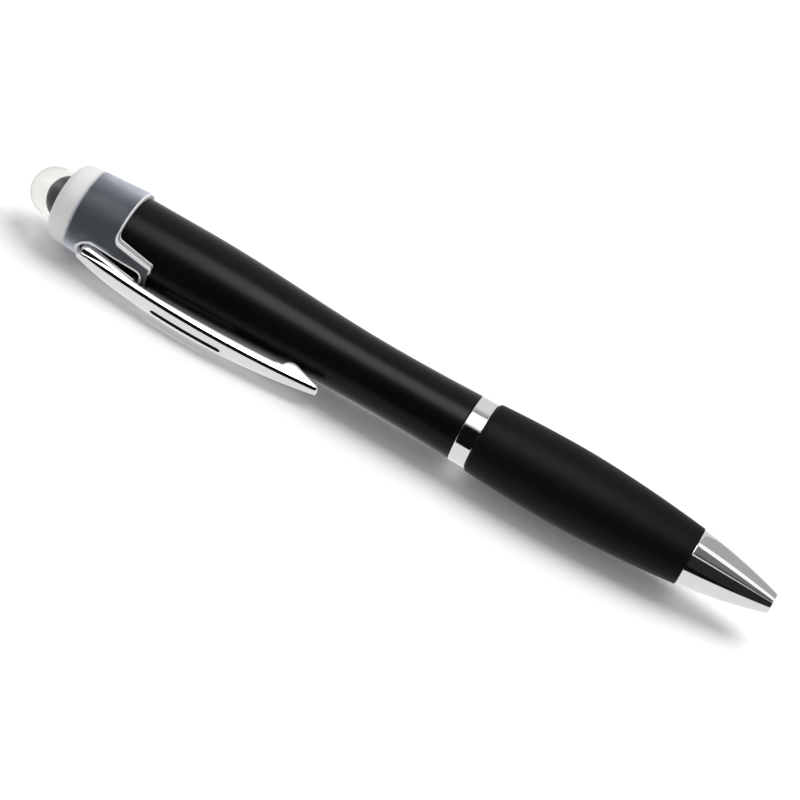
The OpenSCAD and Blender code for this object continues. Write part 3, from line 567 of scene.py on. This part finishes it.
def milky_end(made, from_x, to_x, colour, transmission, added_rough):
    """Clouds a clear material up to from_x along the pen, and clears it by to_x."""
    tree, link = made.node_tree, made.node_tree.links.new
    shader = tree.nodes["Principled BSDF"]
    split = add_node(tree, "SeparateXYZ")
    link(add_node(tree, "TexCoord").outputs["Object"], split.inputs["Vector"])
    clear_colour = tuple(shader.inputs["Base Color"].default_value)[:3]
    clear_transmission = shader.inputs["Transmission Weight"].default_value
    for socket, cloudy, clear in (("Base Color", colour, clear_colour),
                                  ("Transmission Weight", (transmission,) * 3, (clear_transmission,) * 3),
                                  ("Roughness", (added_rough,) * 3, (0, 0, 0))):
        blend = add_node(tree, "MapRange")
        blend.data_type, blend.interpolation_type = "FLOAT_VECTOR", "SMOOTHSTEP"
        # The vector inputs come after the six number inputs of the same names
        value, from_min, from_max, to_min, to_max = list(blend.inputs)[6:11]
        from_min.default_value = ((from_x - PEN_LENGTH / 2) * MM,) * 3
        from_max.default_value = ((to_x - PEN_LENGTH / 2) * MM,) * 3
        to_min.default_value, to_max.default_value = cloudy, clear
        link(split.outputs["X"], value)
        result = blend.outputs["Vector"]
        if shader.inputs[socket].is_linked:
            add = add_node(tree, "Math")
            link(shader.inputs[socket].links[0].from_socket, add.inputs[0])
            link(result, add.inputs[1])
            result = add.outputs[0]
        link(result, shader.inputs[socket])


EVEN, DRAWN, LONG_DRAWN = (1, 1, 1), (0.3, 1, 1), (0.15, 1, 1)
satin_black = material("satin_black", (0.0034, 0.0034, 0.0035), 0.3, grain=(9000, 0.05, 0.03, EVEN),
                       spots=(120, (0.0042, 0.0042, 0.0042)), Specular_IOR_Level=0.11)
soft_black = material("soft_black_rubber", (0.0036, 0.0036, 0.0037), 0.5, grain=(7000, 0.16, 0.06, EVEN),
                      spots=(90, (0.0046, 0.0046, 0.0045)), Specular_IOR_Level=0.08)
chrome = material("chrome", (0.72, 0.72, 0.73), 0.075, 1.0, grain=(900, 0.0, 0.02, LONG_DRAWN),
                  spots=(200, (0.75, 0.75, 0.755)))
clear_plastic = material("clear_plastic", (0.81, 0.87, 0.98), 0.29, grain=(600, 0.0, 0.01, EVEN),
                         Transmission_Weight=0.96, IOR=1.49, Specular_Tint=(0.35, 0.35, 0.35, 1))
milky_end(clear_plastic, from_x=CAP_WALL_X - 0.5, to_x=CAP_WALL_X + 0.3, colour=(0.98, 0.98, 0.97),
          transmission=0.25, added_rough=0.1)
# Frosted white for the cap's cut edges, which also paints the white highlight lines along its chamfers,
# tongue foot and window rim
frosted_painted_highlight = material("frosted_painted_highlight", (0.97, 0.97, 0.97), 0.4, grain=(2500, 0.05, 0.05, EVEN),
                        spots=(400, (0.94, 0.94, 0.94)), Transmission_Weight=0.1, IOR=1.49)
grey_wall = material("grey_wall", (0.3, 0.31, 0.33), 0.35, grain=(2500, 0.05, 0.05, EVEN),
                     spots=(400, (0.27, 0.28, 0.3)), Transmission_Weight=0.3, IOR=1.49)
clear_silicone = material("clear_silicone", (0.97, 0.97, 0.94), 0.1, grain=(800, 0.04, 0.04, EVEN),
                          Transmission_Weight=0.93, IOR=1.41, Specular_Tint=(0.5, 0.5, 0.5, 1))
# Painted shade: near-black dull metal for the chrome clip's shaded hollow and slot walls
clip_painted_shade = material("clip_painted_shade", (0.012, 0.012, 0.012), 0.45, 0.6, grain=(1500, 0.04, 0.05, EVEN),
                       spots=(300, (0.018, 0.018, 0.018)))
dark_plastic = material("dark_plastic", (0.012, 0.012, 0.014), 0.4, grain=(3000, 0.08, 0.05, EVEN),
                        spots=(300, (0.016, 0.016, 0.018)), Specular_IOR_Level=0.15)
white_plastic = material("white_plastic", (0.75, 0.75, 0.72), 0.4, grain=(2500, 0.06, 0.05, EVEN),
                         spots=(250, (0.7, 0.7, 0.67)))
board_green = material("board", (0.02, 0.13, 0.06), 0.35, grain=(2500, 0.05, 0.05, EVEN),
                       spots=(900, (0.03, 0.18, 0.08)))
gold = material("gold_contact", (0.83, 0.6, 0.25), 0.22, 1.0, grain=(1500, 0.03, 0.06, EVEN),
                spots=(400, (0.78, 0.56, 0.24)))
steel = material("steel", (0.6, 0.6, 0.61), 0.25, 1.0, grain=(1500, 0.05, 0.06, DRAWN),
                 spots=(300, (0.55, 0.55, 0.56)))
brass = material("brass", (0.78, 0.57, 0.25), 0.22, 1.0, grain=(1500, 0.04, 0.06, DRAWN),
                 spots=(400, (0.72, 0.52, 0.23)))
clear_lens = material("clear_lens", (0.95, 0.97, 1.0), 0.04, grain=(500, 0.0, 0.02, EVEN),
                      Transmission_Weight=0.9, IOR=1.53)
refill_clear = material("refill_plastic", (0.85, 0.86, 0.86), 0.25, grain=(900, 0.03, 0.05, EVEN),
                        Transmission_Weight=0.6, IOR=1.5)
ink_black = material("ink", (0.004, 0.004, 0.012), 0.15, grain=(600, 0.0, 0.04, EVEN),
                     spots=(300, (0.006, 0.006, 0.016)))

FINISH = {
    "clear_silicone": clear_silicone, "clear_plastic": clear_plastic, "black_satin": satin_black,
    "black_rubber": soft_black, "black_plastic": dark_plastic, "chrome": chrome,
    "white_plastic": white_plastic, "board": board_green, "gold_contact": gold, "steel": steel,
    "clear_lens": clear_lens, "refill_plastic": refill_clear, "ink": ink_black, "brass": brass,
}
SLOT_OF = {part["node"]: part["material_slot"] for part in frame["record"]["subparts"]}
BODY_OF = {node: body for body, members in frame["record"]["behaviour"]["bodies"].items() for node in members}


def dress(piece, node):
    """piece stands for the CAD node: it takes its place, its body and its finish."""
    piece.data.materials.clear()
    piece.data.materials.append(FINISH[SLOT_OF[node]])
    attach(piece, BODY_OF[node])
    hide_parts(node)


for name, node in nodes.items():
    node.data.materials.clear()
    node.data.materials.append(FINISH[SLOT_OF[name]])

# Stylus button
socket_r, flange_r = CORE_R - CORE_PRESS, BORE_R - FLANGE_GAP
flange_x, flange_end_x = CAP_WALL_X + FREE_GAP, CAP_WALL_X + FREE_GAP + FLANGE_T
dome = ball_arc(STYLUS_R, STYLUS_R - DOME_OUT, 0, math.pi / 2, 32)
skirt = rounded([(STYLUS_R, STYLUS_R + 0.1, 0), (STYLUS_R, SKIRT_X, 0.15), (socket_r, SKIRT_X, 0.1),
                 (socket_r, CORE_X + 0.1, 0)])
socket = ball_arc(socket_r, CORE_X, math.pi / 2, 0, 24)
dress(lathe("stylus_dome", dome + skirt + socket, closed=False), "stylus_tip")
core = ball_arc(CORE_R, CORE_X, 0, math.pi / 2, 24)
collar = rounded([(CORE_R, CORE_X + 0.1, 0), (CORE_R, SKIRT_X, 0), (STYLUS_R, SKIRT_X, 0.1),
                  (STYLUS_R, flange_x, 0), (flange_r, flange_x, 0.1), (flange_r, flange_end_x, 0.1),
                  (0, flange_end_x, 0)])
dress(lathe("stylus_core", core + collar, closed=False), "stylus_plunger")

# End cap. The tools that cut it on the clip's side reach from cut_z out to cut_r
hole_r, neck_bore, tongue_bore = STYLUS_R + FREE_GAP, NECK_R + SEAT_GAP, BARREL_R + SEAT_GAP
cut_z, cut_r = 0.5, CAP_EDGE_R + 1
end_cap = make("clear_cap", lathe_mesh(rounded([
    (hole_r, CAP_X + 1, 0), (hole_r, CAP_X, 0.3), (CAP_R, CAP_X, CAP_ROUND), on(cap_outer, CHAMFER_X),
    (CAP_EDGE_R - CHAMFER, CAP_EDGE_X, 0), (neck_bore, CAP_EDGE_X, 0.06), (neck_bore, CAP_WALL_X, 0.1),
    (hole_r, CAP_WALL_X, 0.2), (hole_r, CAP_X + 1.2, 0)], 8), True))
tongue_end_x, root_x, root_r = CAP_EDGE_X + TONGUE_LENGTH + 0.5, CAP_EDGE_X - 1.2, CAP_EDGE_R - 0.2
skin_places = steps(CHAMFER_X, CHAMFER_X + TONGUE_EASE, 12) + [tongue_end_x]
tongue = make("tongue", lathe_mesh(
    [(tongue_bore, root_x), (root_r, root_x), (root_r, CAP_EDGE_X - 0.8)]
    + along_surface(cap_skin, skin_places) + [(tongue_bore, tongue_end_x)], True))
whole, trimmed = tongue_outline(0), tongue_outline(CHAMFER + FLARE)
combine(tongue, "INTERSECT", skin_mesh([
    level(whole, cut_z), wrapped(whole, CAP_EDGE_R - tongue_bore - TONGUE_FOOT), wrapped(whole, CHAMFER),
    wrapped(trimmed, -FLARE), level(trimmed, cut_r)]))
join_piece(end_cap, "UNION", tongue)
rim_x = CAP_WALL_X + 1
rim_floor = [(cap_skin(x) - RIM_DEPTH, x) for x in [rim_x, CHAMFER_X - 0.01] + skin_places]
rim = make("rim", lathe_mesh(rim_floor + [(cut_r, tongue_end_x), (cut_r, rim_x)], True))
combine(rim, "INTERSECT", prism_mesh(window_outline(RIM_WIDTH), cut_z, cut_r + 1))
join_piece(end_cap, "DIFFERENCE", rim)
whole, flared = window_outline(0), window_outline(CHAMFER + FLARE)
combine(end_cap, "DIFFERENCE", skin_mesh([
    level(whole, cut_z), wrapped(whole, CHAMFER + WINDOW_WALL), wrapped(whole, CHAMFER),
    wrapped(flared, -FLARE), level(flared, cut_r)]))
dress(smooth(weld(end_cap)), "end_cap")

# Limits for a face's normal: against z for upright walls, and against the way out from the axis
UPRIGHT, ROUND_WALL, SKIN, LEAST_SLOPE = 0.05, 0.9, 0.95, 0.3


def in_window(middle):
    margin = WINDOW_MARGIN + RIM_WIDTH
    return abs(middle.y) < WINDOW_W / 2 + margin and middle.x < WINDOW_X + WINDOW_LENGTH + margin


def cap_wall(middle, normal):
    """The tongue's side walls and end."""
    slope = normal.dot(Vector((0, middle.y, middle.z)).normalized())
    return (middle.x > CHAMFER_X and abs(normal.z) < UPRIGHT and abs(slope) < ROUND_WALL
            and not in_window(middle))


def cap_highlight_faces(middle, normal):
    """The chamfers of the cap's open edge and tongue, the foot of the tongue's wall and the window's rim,
    which are frosted and painted white as highlight lines.
    """
    out = Vector((0, middle.y, middle.z))
    slope = normal.dot(out.normalized())
    if middle.x < CAP_WALL_X + 0.5 or slope < -ROUND_WALL:
        return False
    if cap_wall(middle, normal):
        return out.length < tongue_bore + TONGUE_FOOT or middle.z < BARREL_R / 2
    if in_window(middle):
        depth = cap_skin(middle.x) - out.length
        return depth < CHAMFER + WINDOW_WALL and (slope < SKIN or depth > RIM_DEPTH / 2)
    return LEAST_SLOPE < slope < SKIN


mark(end_cap, grey_wall, cap_wall)
# These edges get frosted white that paints their highlight lines
mark(end_cap, frosted_painted_highlight, cap_highlight_faces)

# Upper barrel
cam_r, groove_r, neck_end_x = SPIGOT_R + CAM_GAP, SPIGOT_R + GROOVE_DEPTH, CAP_EDGE_X + SEAT_GAP
barrel_profile = rounded([
    (BORE_R, TAIL_X + 1, 0), (BORE_R, TAIL_X, 0.1), (NECK_R, TAIL_X, 0.3), (NECK_R, neck_end_x, 0.05),
    (BARREL_R, neck_end_x, 0.12), (BARREL_R, CURVE_X - 1, 0)])
barrel_profile += along_surface(barrel_outer, steps(CURVE_X, JOINT_X - 0.3, 110))
barrel_profile += rounded([
    on(barrel_outer, JOINT_X - 0.25), (JOINT_R, JOINT_X, 0.1), (cam_r, JOINT_X, 0.1),
    (cam_r, GROOVE_END_X, 0), (groove_r, GROOVE_END_X, 0), (groove_r, GROOVE_X, 0), (cam_r, GROOVE_X, 0),
    (cam_r, CAM_X, 0), (cam_r - CAM_STOP, CAM_X, 0), (BORE_R, BORE_END_X, 0)])
barrel = make("barrel_tube", lathe_mesh(barrel_profile, True, FINE_SEGMENTS))
combine(barrel, "DIFFERENCE", rod_y_mesh(FOOT_X, FOOT_Z, FOOT_HOLE_R, FOOT_HOLE_HALF_W))
dress(smooth(barrel, FINE_SHARP), "upper_barrel")

# Pocket clip
clip_places = eased(CLIP_X, BUMP_START_X, 90)
clip_places += [BUMP_X + BUMP_R * math.cos(a) for a in steps(BUMP_START_A, BUMP_END_A, 40)[1:]]
clip_places += eased(BUMP_END_X, CLIP_END_X, 24)[1:]
hollow_places = eased(CLIP_X + HOLLOW_START, BUMP_START_X - HOLLOW_START, 60)
clip = make("clip_sheet", loft_mesh([clip_section(x) for x in clip_places]))
combine(clip, "DIFFERENCE", loft_mesh([clip_hollow(x) for x in hollow_places]))
tab = make("tab", skin_mesh([tab_ring(x) for x in steps(TAB_X, TAB_END_X, 40)]))
over_neck, over_barrel = NECK_R + TAB_LOW_GAP, BARREL_R + TAB_LOW_GAP
under_x, step_x, under_end_x = 10, CAP_EDGE_X - 0.1, 30
combine(tab, "DIFFERENCE", lathe_mesh([
    (0, under_x), (over_neck, under_x), (over_neck, step_x), (over_barrel, step_x),
    (over_barrel, under_end_x), (0, under_end_x)], False))
join_piece(clip, "UNION", tab)
combine(clip, "UNION", box_mesh(
    (TAB_X, -STEM_HALF_W, FOOT_Z), (TAB_X + STEM_T, STEM_HALF_W, BARREL_R + FREE_GAP + STEM_OVERLAP)))
combine(clip, "UNION", rod_y_mesh(FOOT_X, FOOT_Z, FOOT_R, FOOT_HALF_W))
combine(clip, "DIFFERENCE", prism_mesh(
    stadium(SLOT_X, SLOT_LENGTH, SLOT_W, SLOT_ROUND, SLOT_ROUND), (CLIP_LOW_R + CLIP_FACE_R) / 2,
    CLIP_FACE_R + 2))
dress(smooth(weld(clip), CLIP_SHARP), "pocket_clip")

UNDERSIDE_X, FACES_IN, FACES_DOWN, OVER_LIP = CLIP_X + 4, -0.1, -0.3, 0.2


def clip_shaded_faces(middle, normal):
    """The slot's walls, which face its middle, and the hollow, which looks down from over the lip: the faces
    that take painted shade.
    """
    slot_wall = normal.y * middle.y < FACES_IN
    hollow = normal.z < FACES_DOWN and middle.z > clip_lip(middle.x) + OVER_LIP
    return UNDERSIDE_X < middle.x < BUMP_START_X and (slot_wall or hollow)


# The clip's hollow and slot walls take the painted shade
mark(clip, clip_painted_shade, clip_shaded_faces)

# Trim ring, grip and nose
ring_bore = SPIGOT_R + SEAT_GAP
dress(lathe("joint_ring", rounded([
    (ring_bore, RING_X + 1, 0), (ring_bore, RING_X, 0.1), (RING_R, RING_X, 0.25), (RING_R, GRIP_X, 0.25),
    (ring_bore, GRIP_X, 0.1), (ring_bore, GRIP_X - 1, 0)], 8)), "trim_ring")
grip_step_x = GRIP_X + GRIP_STEP
grip_profile = rounded([
    (GRIP_STEP_R, GRIP_X + 0.6, 0), (GRIP_STEP_R, GRIP_X, 0.1), (grip_outer(GRIP_X), GRIP_X, 0.6),
    on(grip_outer, GRIP_X + 1.3)], 10)
grip_profile += along_surface(grip_outer, steps(GRIP_X + 1.5, NOSE_X - 0.6, 80))
grip_profile += rounded([
    on(grip_outer, NOSE_X - 0.5), (GRIP_FRONT_R, NOSE_X, 0.22), (GRIP_BORE_R, NOSE_X, 0.08),
    (GRIP_BORE_R, grip_step_x, 0), (GRIP_STEP_R, grip_step_x, 0)], 8)
dress(lathe("soft_grip", grip_profile, segments=FINE_SEGMENTS, angle=FINE_SHARP), "rubber_grip")
spigot_x, chamber_x, tip_bore_x = NOSE_X - NOSE_SPIGOT, NOSE_X + CHAMBER, PEN_LENGTH - TIP_BORE
nose_profile = rounded([
    (NOSE_SPIGOT_BORE, spigot_x + 0.5, 0), (NOSE_SPIGOT_BORE, spigot_x, 0.1), (NOSE_SPIGOT_R, spigot_x, 0.2),
    (NOSE_SPIGOT_R, NOSE_X, 0), (NOSE_BASE_R, NOSE_X, 0.1), on(nose_outer, NOSE_X + 0.5)])
nose_profile += along_surface(nose_outer, steps(NOSE_X + 0.6, PEN_LENGTH - 0.5, 60))
nose_profile += rounded([
    on(nose_outer, PEN_LENGTH - 0.4), (NOSE_END_R, PEN_LENGTH, 0.2), (TIP_BORE_R, PEN_LENGTH, 0.12),
    (TIP_BORE_R, tip_bore_x, 0), (CHAMBER_R, tip_bore_x, 0), (CHAMBER_R, chamber_x, 0),
    (NOSE_SPIGOT_BORE, chamber_x, 0)])
dress(lathe("nose_shell", nose_profile, segments=FINE_SEGMENTS, angle=FINE_SHARP), "nose_cone")

# Refill point and springs
ball_x, rim_a = PEN_LENGTH - POINT_INSET - BALL_R, math.asin(SEAT_RIM_R / SEAT_R)
point_end_x = ball_x + SEAT_R * math.cos(rim_a)
point = rounded([
    (0, POINT_X - SHANK, 0), (SHANK_R, POINT_X - SHANK, 0.1), (SHANK_R, POINT_X, 0), (POINT_R, POINT_X, 0.1),
    (POINT_R, point_end_x - POINT_CONE, 0.3), (POINT_END_R, point_end_x, 0)])
seat = ball_arc(SEAT_R, ball_x, math.pi - rim_a, 0, 16)
dress(lathe("brass_point", point + seat, closed=False, segments=64), "refill_tip")
ball = ball_arc(BALL_R, ball_x, 0, math.pi, 24)
dress(lathe("writing_ball", ball, closed=False, segments=48), "tip_ball")
spring = coil("point_spring", POINT_X + POINT_SPRING_GAP, tip_bore_x - POINT_SPRING_GAP, POINT_SPRING_R,
              POINT_SPRING_R, POINT_SPRING_CURLS)
dress(spring, "return_spring")
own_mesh(spring)
dress(coil("cell_spring", CELL_SPRING_X + CELL_SPRING_GAP, CELL_SPRING_END_X - CELL_SPRING_GAP,
           CELL_SPRING_R, CELL_SPRING_END_R, CELL_SPRING_CURLS), "contact_spring")

# Camera at the photograph's viewing angle.
# EYE_FROM_CLIP is the turn about the axis from the clip up to the eye.
EYE_FROM_CLIP, ROLL = math.radians(64.9829), math.radians(29.92)
EYE_X, EYE_DISTANCE, AIM_X, AIM_DROP = 120, 440, 72.1, 1.47
SENSOR, LENS = 36, 119.9
rise = EYE_FROM_CLIP - CLIP_DIP
eye = Vector((EYE_X - PEN_LENGTH / 2, AXIS_Y - EYE_DISTANCE * math.cos(rise),
              AXIS_Z + EYE_DISTANCE * math.sin(rise))) * MM
aim = Vector((AIM_X - PEN_LENGTH / 2, AXIS_Y, AXIS_Z)) * MM
aim += Vector((0, -math.sin(rise), -math.cos(rise))) * AIM_DROP * MM
look = (aim - eye).normalized()
along = (Vector((1, 0, 0)) - look * look.x).normalized()
across = look.cross(along)
right = along * math.cos(ROLL) - across * math.sin(ROLL)
up = -along * math.sin(ROLL) - across * math.cos(ROLL)
camera = bpy.data.objects.new("camera", bpy.data.cameras.new("camera"))
scene.collection.objects.link(camera)
camera.data.sensor_width, camera.data.lens = SENSOR, LENS
camera.data.clip_start, camera.data.clip_end = 0.01, 50
camera.matrix_world = Matrix.Translation(eye) @ Matrix((right, up, -look)).transposed().to_4x4()
scene.camera = camera


# Stage, in metres: the floor, the background and the cards that gloss mirrors

def emission(name, strength):
    """A plain glow that isn't sampled as a lamp."""
    made = new_material(name)
    made.cycles.emission_sampling = "NONE"
    tree = made.node_tree
    tree.nodes.remove(tree.nodes["Principled BSDF"])
    glow = add_node(tree, "Emission", Strength=strength)
    tree.links.new(glow.outputs["Emission"], tree.nodes["Material Output"].inputs["Surface"])
    return made


def floor_paper(white, in_camera, in_glass, in_metal):
    """Matt white that keeps shadows, with a lift for the camera and through glass, and a glow for gloss."""
    made = new_material("floor")
    made.cycles.emission_sampling = "NONE"
    tree, link = made.node_tree, made.node_tree.links.new
    paper = tree.nodes["Principled BSDF"]
    set_inputs(paper, {"Base Color": (white, white, white, 1), "Roughness": 1, "Specular IOR Level": 0,
                       "Emission Color": (1, 1, 1, 1)})
    path = add_node(tree, "LightPath")
    lift = add_node(tree, "Math")
    lift.operation = "MULTIPLY"
    lift.inputs[1].default_value = in_camera
    link(path.outputs["Is Camera Ray"], lift.inputs[0])
    through = add_node(tree, "Math")
    through.operation = "MULTIPLY_ADD"
    through.inputs[1].default_value = in_glass
    link(path.outputs["Is Transmission Ray"], through.inputs[0])
    link(lift.outputs[0], through.inputs[2])
    link(through.outputs[0], paper.inputs["Emission Strength"])
    mirrored_glow = add_node(tree, "Emission", Strength=in_metal)
    either = add_node(tree, "MixShader")
    link(path.outputs["Is Glossy Ray"], either.inputs["Fac"])
    link(paper.outputs["BSDF"], either.inputs[1])
    link(mirrored_glow.outputs["Emission"], either.inputs[2])
    link(either.outputs["Shader"], tree.nodes["Material Output"].inputs["Surface"])
    return made


def sheet(name, corners, shader):
    mesh = bpy.data.meshes.new(name)
    mesh.from_pydata(corners, [], [(0, 1, 2, 3)])
    piece = bpy.data.objects.new(name, mesh)
    scene.collection.objects.link(piece)
    mesh.materials.append(shader)
    return piece


def card(name, corners, strength):
    """A card that only gloss sees."""
    piece = sheet(name, corners, emission(name, strength))
    piece.visible_camera = piece.visible_diffuse = piece.visible_shadow = piece.visible_transmission = False


FLOOR_HALF = 4
WIDE, NOSE_SIDE, NOSE_FAR, NOSE_DARK_X = 0.9, 0.11, 0.5, 0.08
CARD_DISTANCE = 0.5
DARK_Y, DARK_TOP, DARK_END_Y, FLOOR_LIFT = -0.3, 0.235, -0.019, 0.0005
FRONT_STRETCHES = ((-WIDE, -0.12, 3.5), (-0.12, -0.085, 6.0), (-0.085, NOSE_SIDE, 8.5))


def ray_point(angle, x):
    """A point seen from the pen's axis at that angle above the front horizon, in a plane across the pen."""
    a = math.radians(angle)
    return x, AXIS_Y * MM - CARD_DISTANCE * math.cos(a), AXIS_Z * MM + CARD_DISTANCE * math.sin(a)


def arc_card(name, angles, strength, x=-WIDE, end_x=NOSE_SIDE, end_angles=None):
    """A card along the pen that fills these angles over it, counted from the front horizon, at each end."""
    (low, high), (end_low, end_high) = angles, end_angles or angles
    card(name, [ray_point(low, x), ray_point(end_low, end_x), ray_point(end_high, end_x), ray_point(high, x)],
         strength)


def dark_cards(name, x, end_x, strength):
    """A dark wall in front of the pen, and a dark floor from its foot to the pen."""
    foot = [(x, DARK_Y, FLOOR_LIFT), (end_x, DARK_Y, FLOOR_LIFT)]
    card(name + "_front", foot + [(end_x, DARK_Y, DARK_TOP), (x, DARK_Y, DARK_TOP)], strength)
    card(name + "_floor", foot + [(end_x, DARK_END_Y, FLOOR_LIFT), (x, DARK_END_Y, FLOOR_LIFT)], strength)


sheet("floor", [(FLOOR_HALF * x, FLOOR_HALF * y, 0) for x, y in ((-1, -1), (1, -1), (1, 1), (-1, 1))],
      floor_paper(white=0.9, in_camera=0.08, in_glass=0.3, in_metal=0.95))

# What the barrel, the clip and the ring mirror
dark_cards("dark", -WIDE, NOSE_DARK_X, 0.006)
arc_card("light_edge", (36, 42), 0.1)
arc_card("light_low", (42, 50), 1.0)
for i, (x, end_x, strength) in enumerate(FRONT_STRETCHES):
    arc_card(f"light_front_{i}", (50, 82), strength, x, end_x)
arc_card("light_high", (82, 88), 1.5)
arc_card("grey_line", (88, 100), 0.4)
arc_card("grey_back", (100, 108), 0.65)
arc_card("pale_back", (108, 180), 0.85)

# What the nose's cone mirrors, further along
dark_cards("nose_dark", NOSE_DARK_X, WIDE, 0.025)
arc_card("nose_low", (35, 40), 0.005, NOSE_SIDE, WIDE)
arc_card("nose_line", (40, 45), 1.0, NOSE_SIDE, NOSE_FAR, (41, 43))
arc_card("nose_gap", (45, 52), 0.1, NOSE_SIDE, NOSE_FAR, (43, 58))
arc_card("nose_wedge", (52, 85), 0.2, NOSE_SIDE, NOSE_FAR, (58, 66))
arc_card("nose_white", (85, 97), 1.3, NOSE_SIDE, NOSE_FAR, (66, 99))
arc_card("nose_grey", (97, 180), 0.5, NOSE_SIDE, NOSE_FAR, (99, 180))


def seen_rays(tree):
    """1 for rays from the camera, from gloss and through glass, 0 for the rest."""
    path = add_node(tree, "LightPath")
    total = path.outputs["Is Camera Ray"]
    for ray in ("Is Glossy Ray", "Is Transmission Ray"):
        add = add_node(tree, "Math")
        add.operation, add.use_clamp = "ADD", True
        tree.links.new(total, add.inputs[0])
        tree.links.new(path.outputs[ray], add.inputs[1])
        total = add.outputs[0]
    return total


# The background is white to look at and gives less light than that
FILL = 0.4
world = bpy.data.worlds.new("studio")
scene.world = world
world.use_nodes = True
tree = world.node_tree
ground = tree.nodes["Background"]
ground.inputs["Color"].default_value = (1, 1, 1, 1)
span = add_node(tree, "MapRange", To_Min=FILL, To_Max=1.0)
tree.links.new(seen_rays(tree), span.inputs["Value"])
tree.links.new(span.outputs["Result"], ground.inputs["Strength"])

SUN_STRENGTH, SUN_SPREAD, SUN_WAY = 2.35, math.radians(45), Vector((-0.24, -0.27, -0.86))
sun = bpy.data.objects.new("sun", bpy.data.lights.new("sun", "SUN"))
sun.data.energy, sun.data.angle = SUN_STRENGTH, SUN_SPREAD
sun.rotation_euler = SUN_WAY.to_track_quat("-Z", "Y").to_euler()
sun.visible_glossy = False
scene.collection.objects.link(sun)

scene.view_settings.view_transform = "Standard"
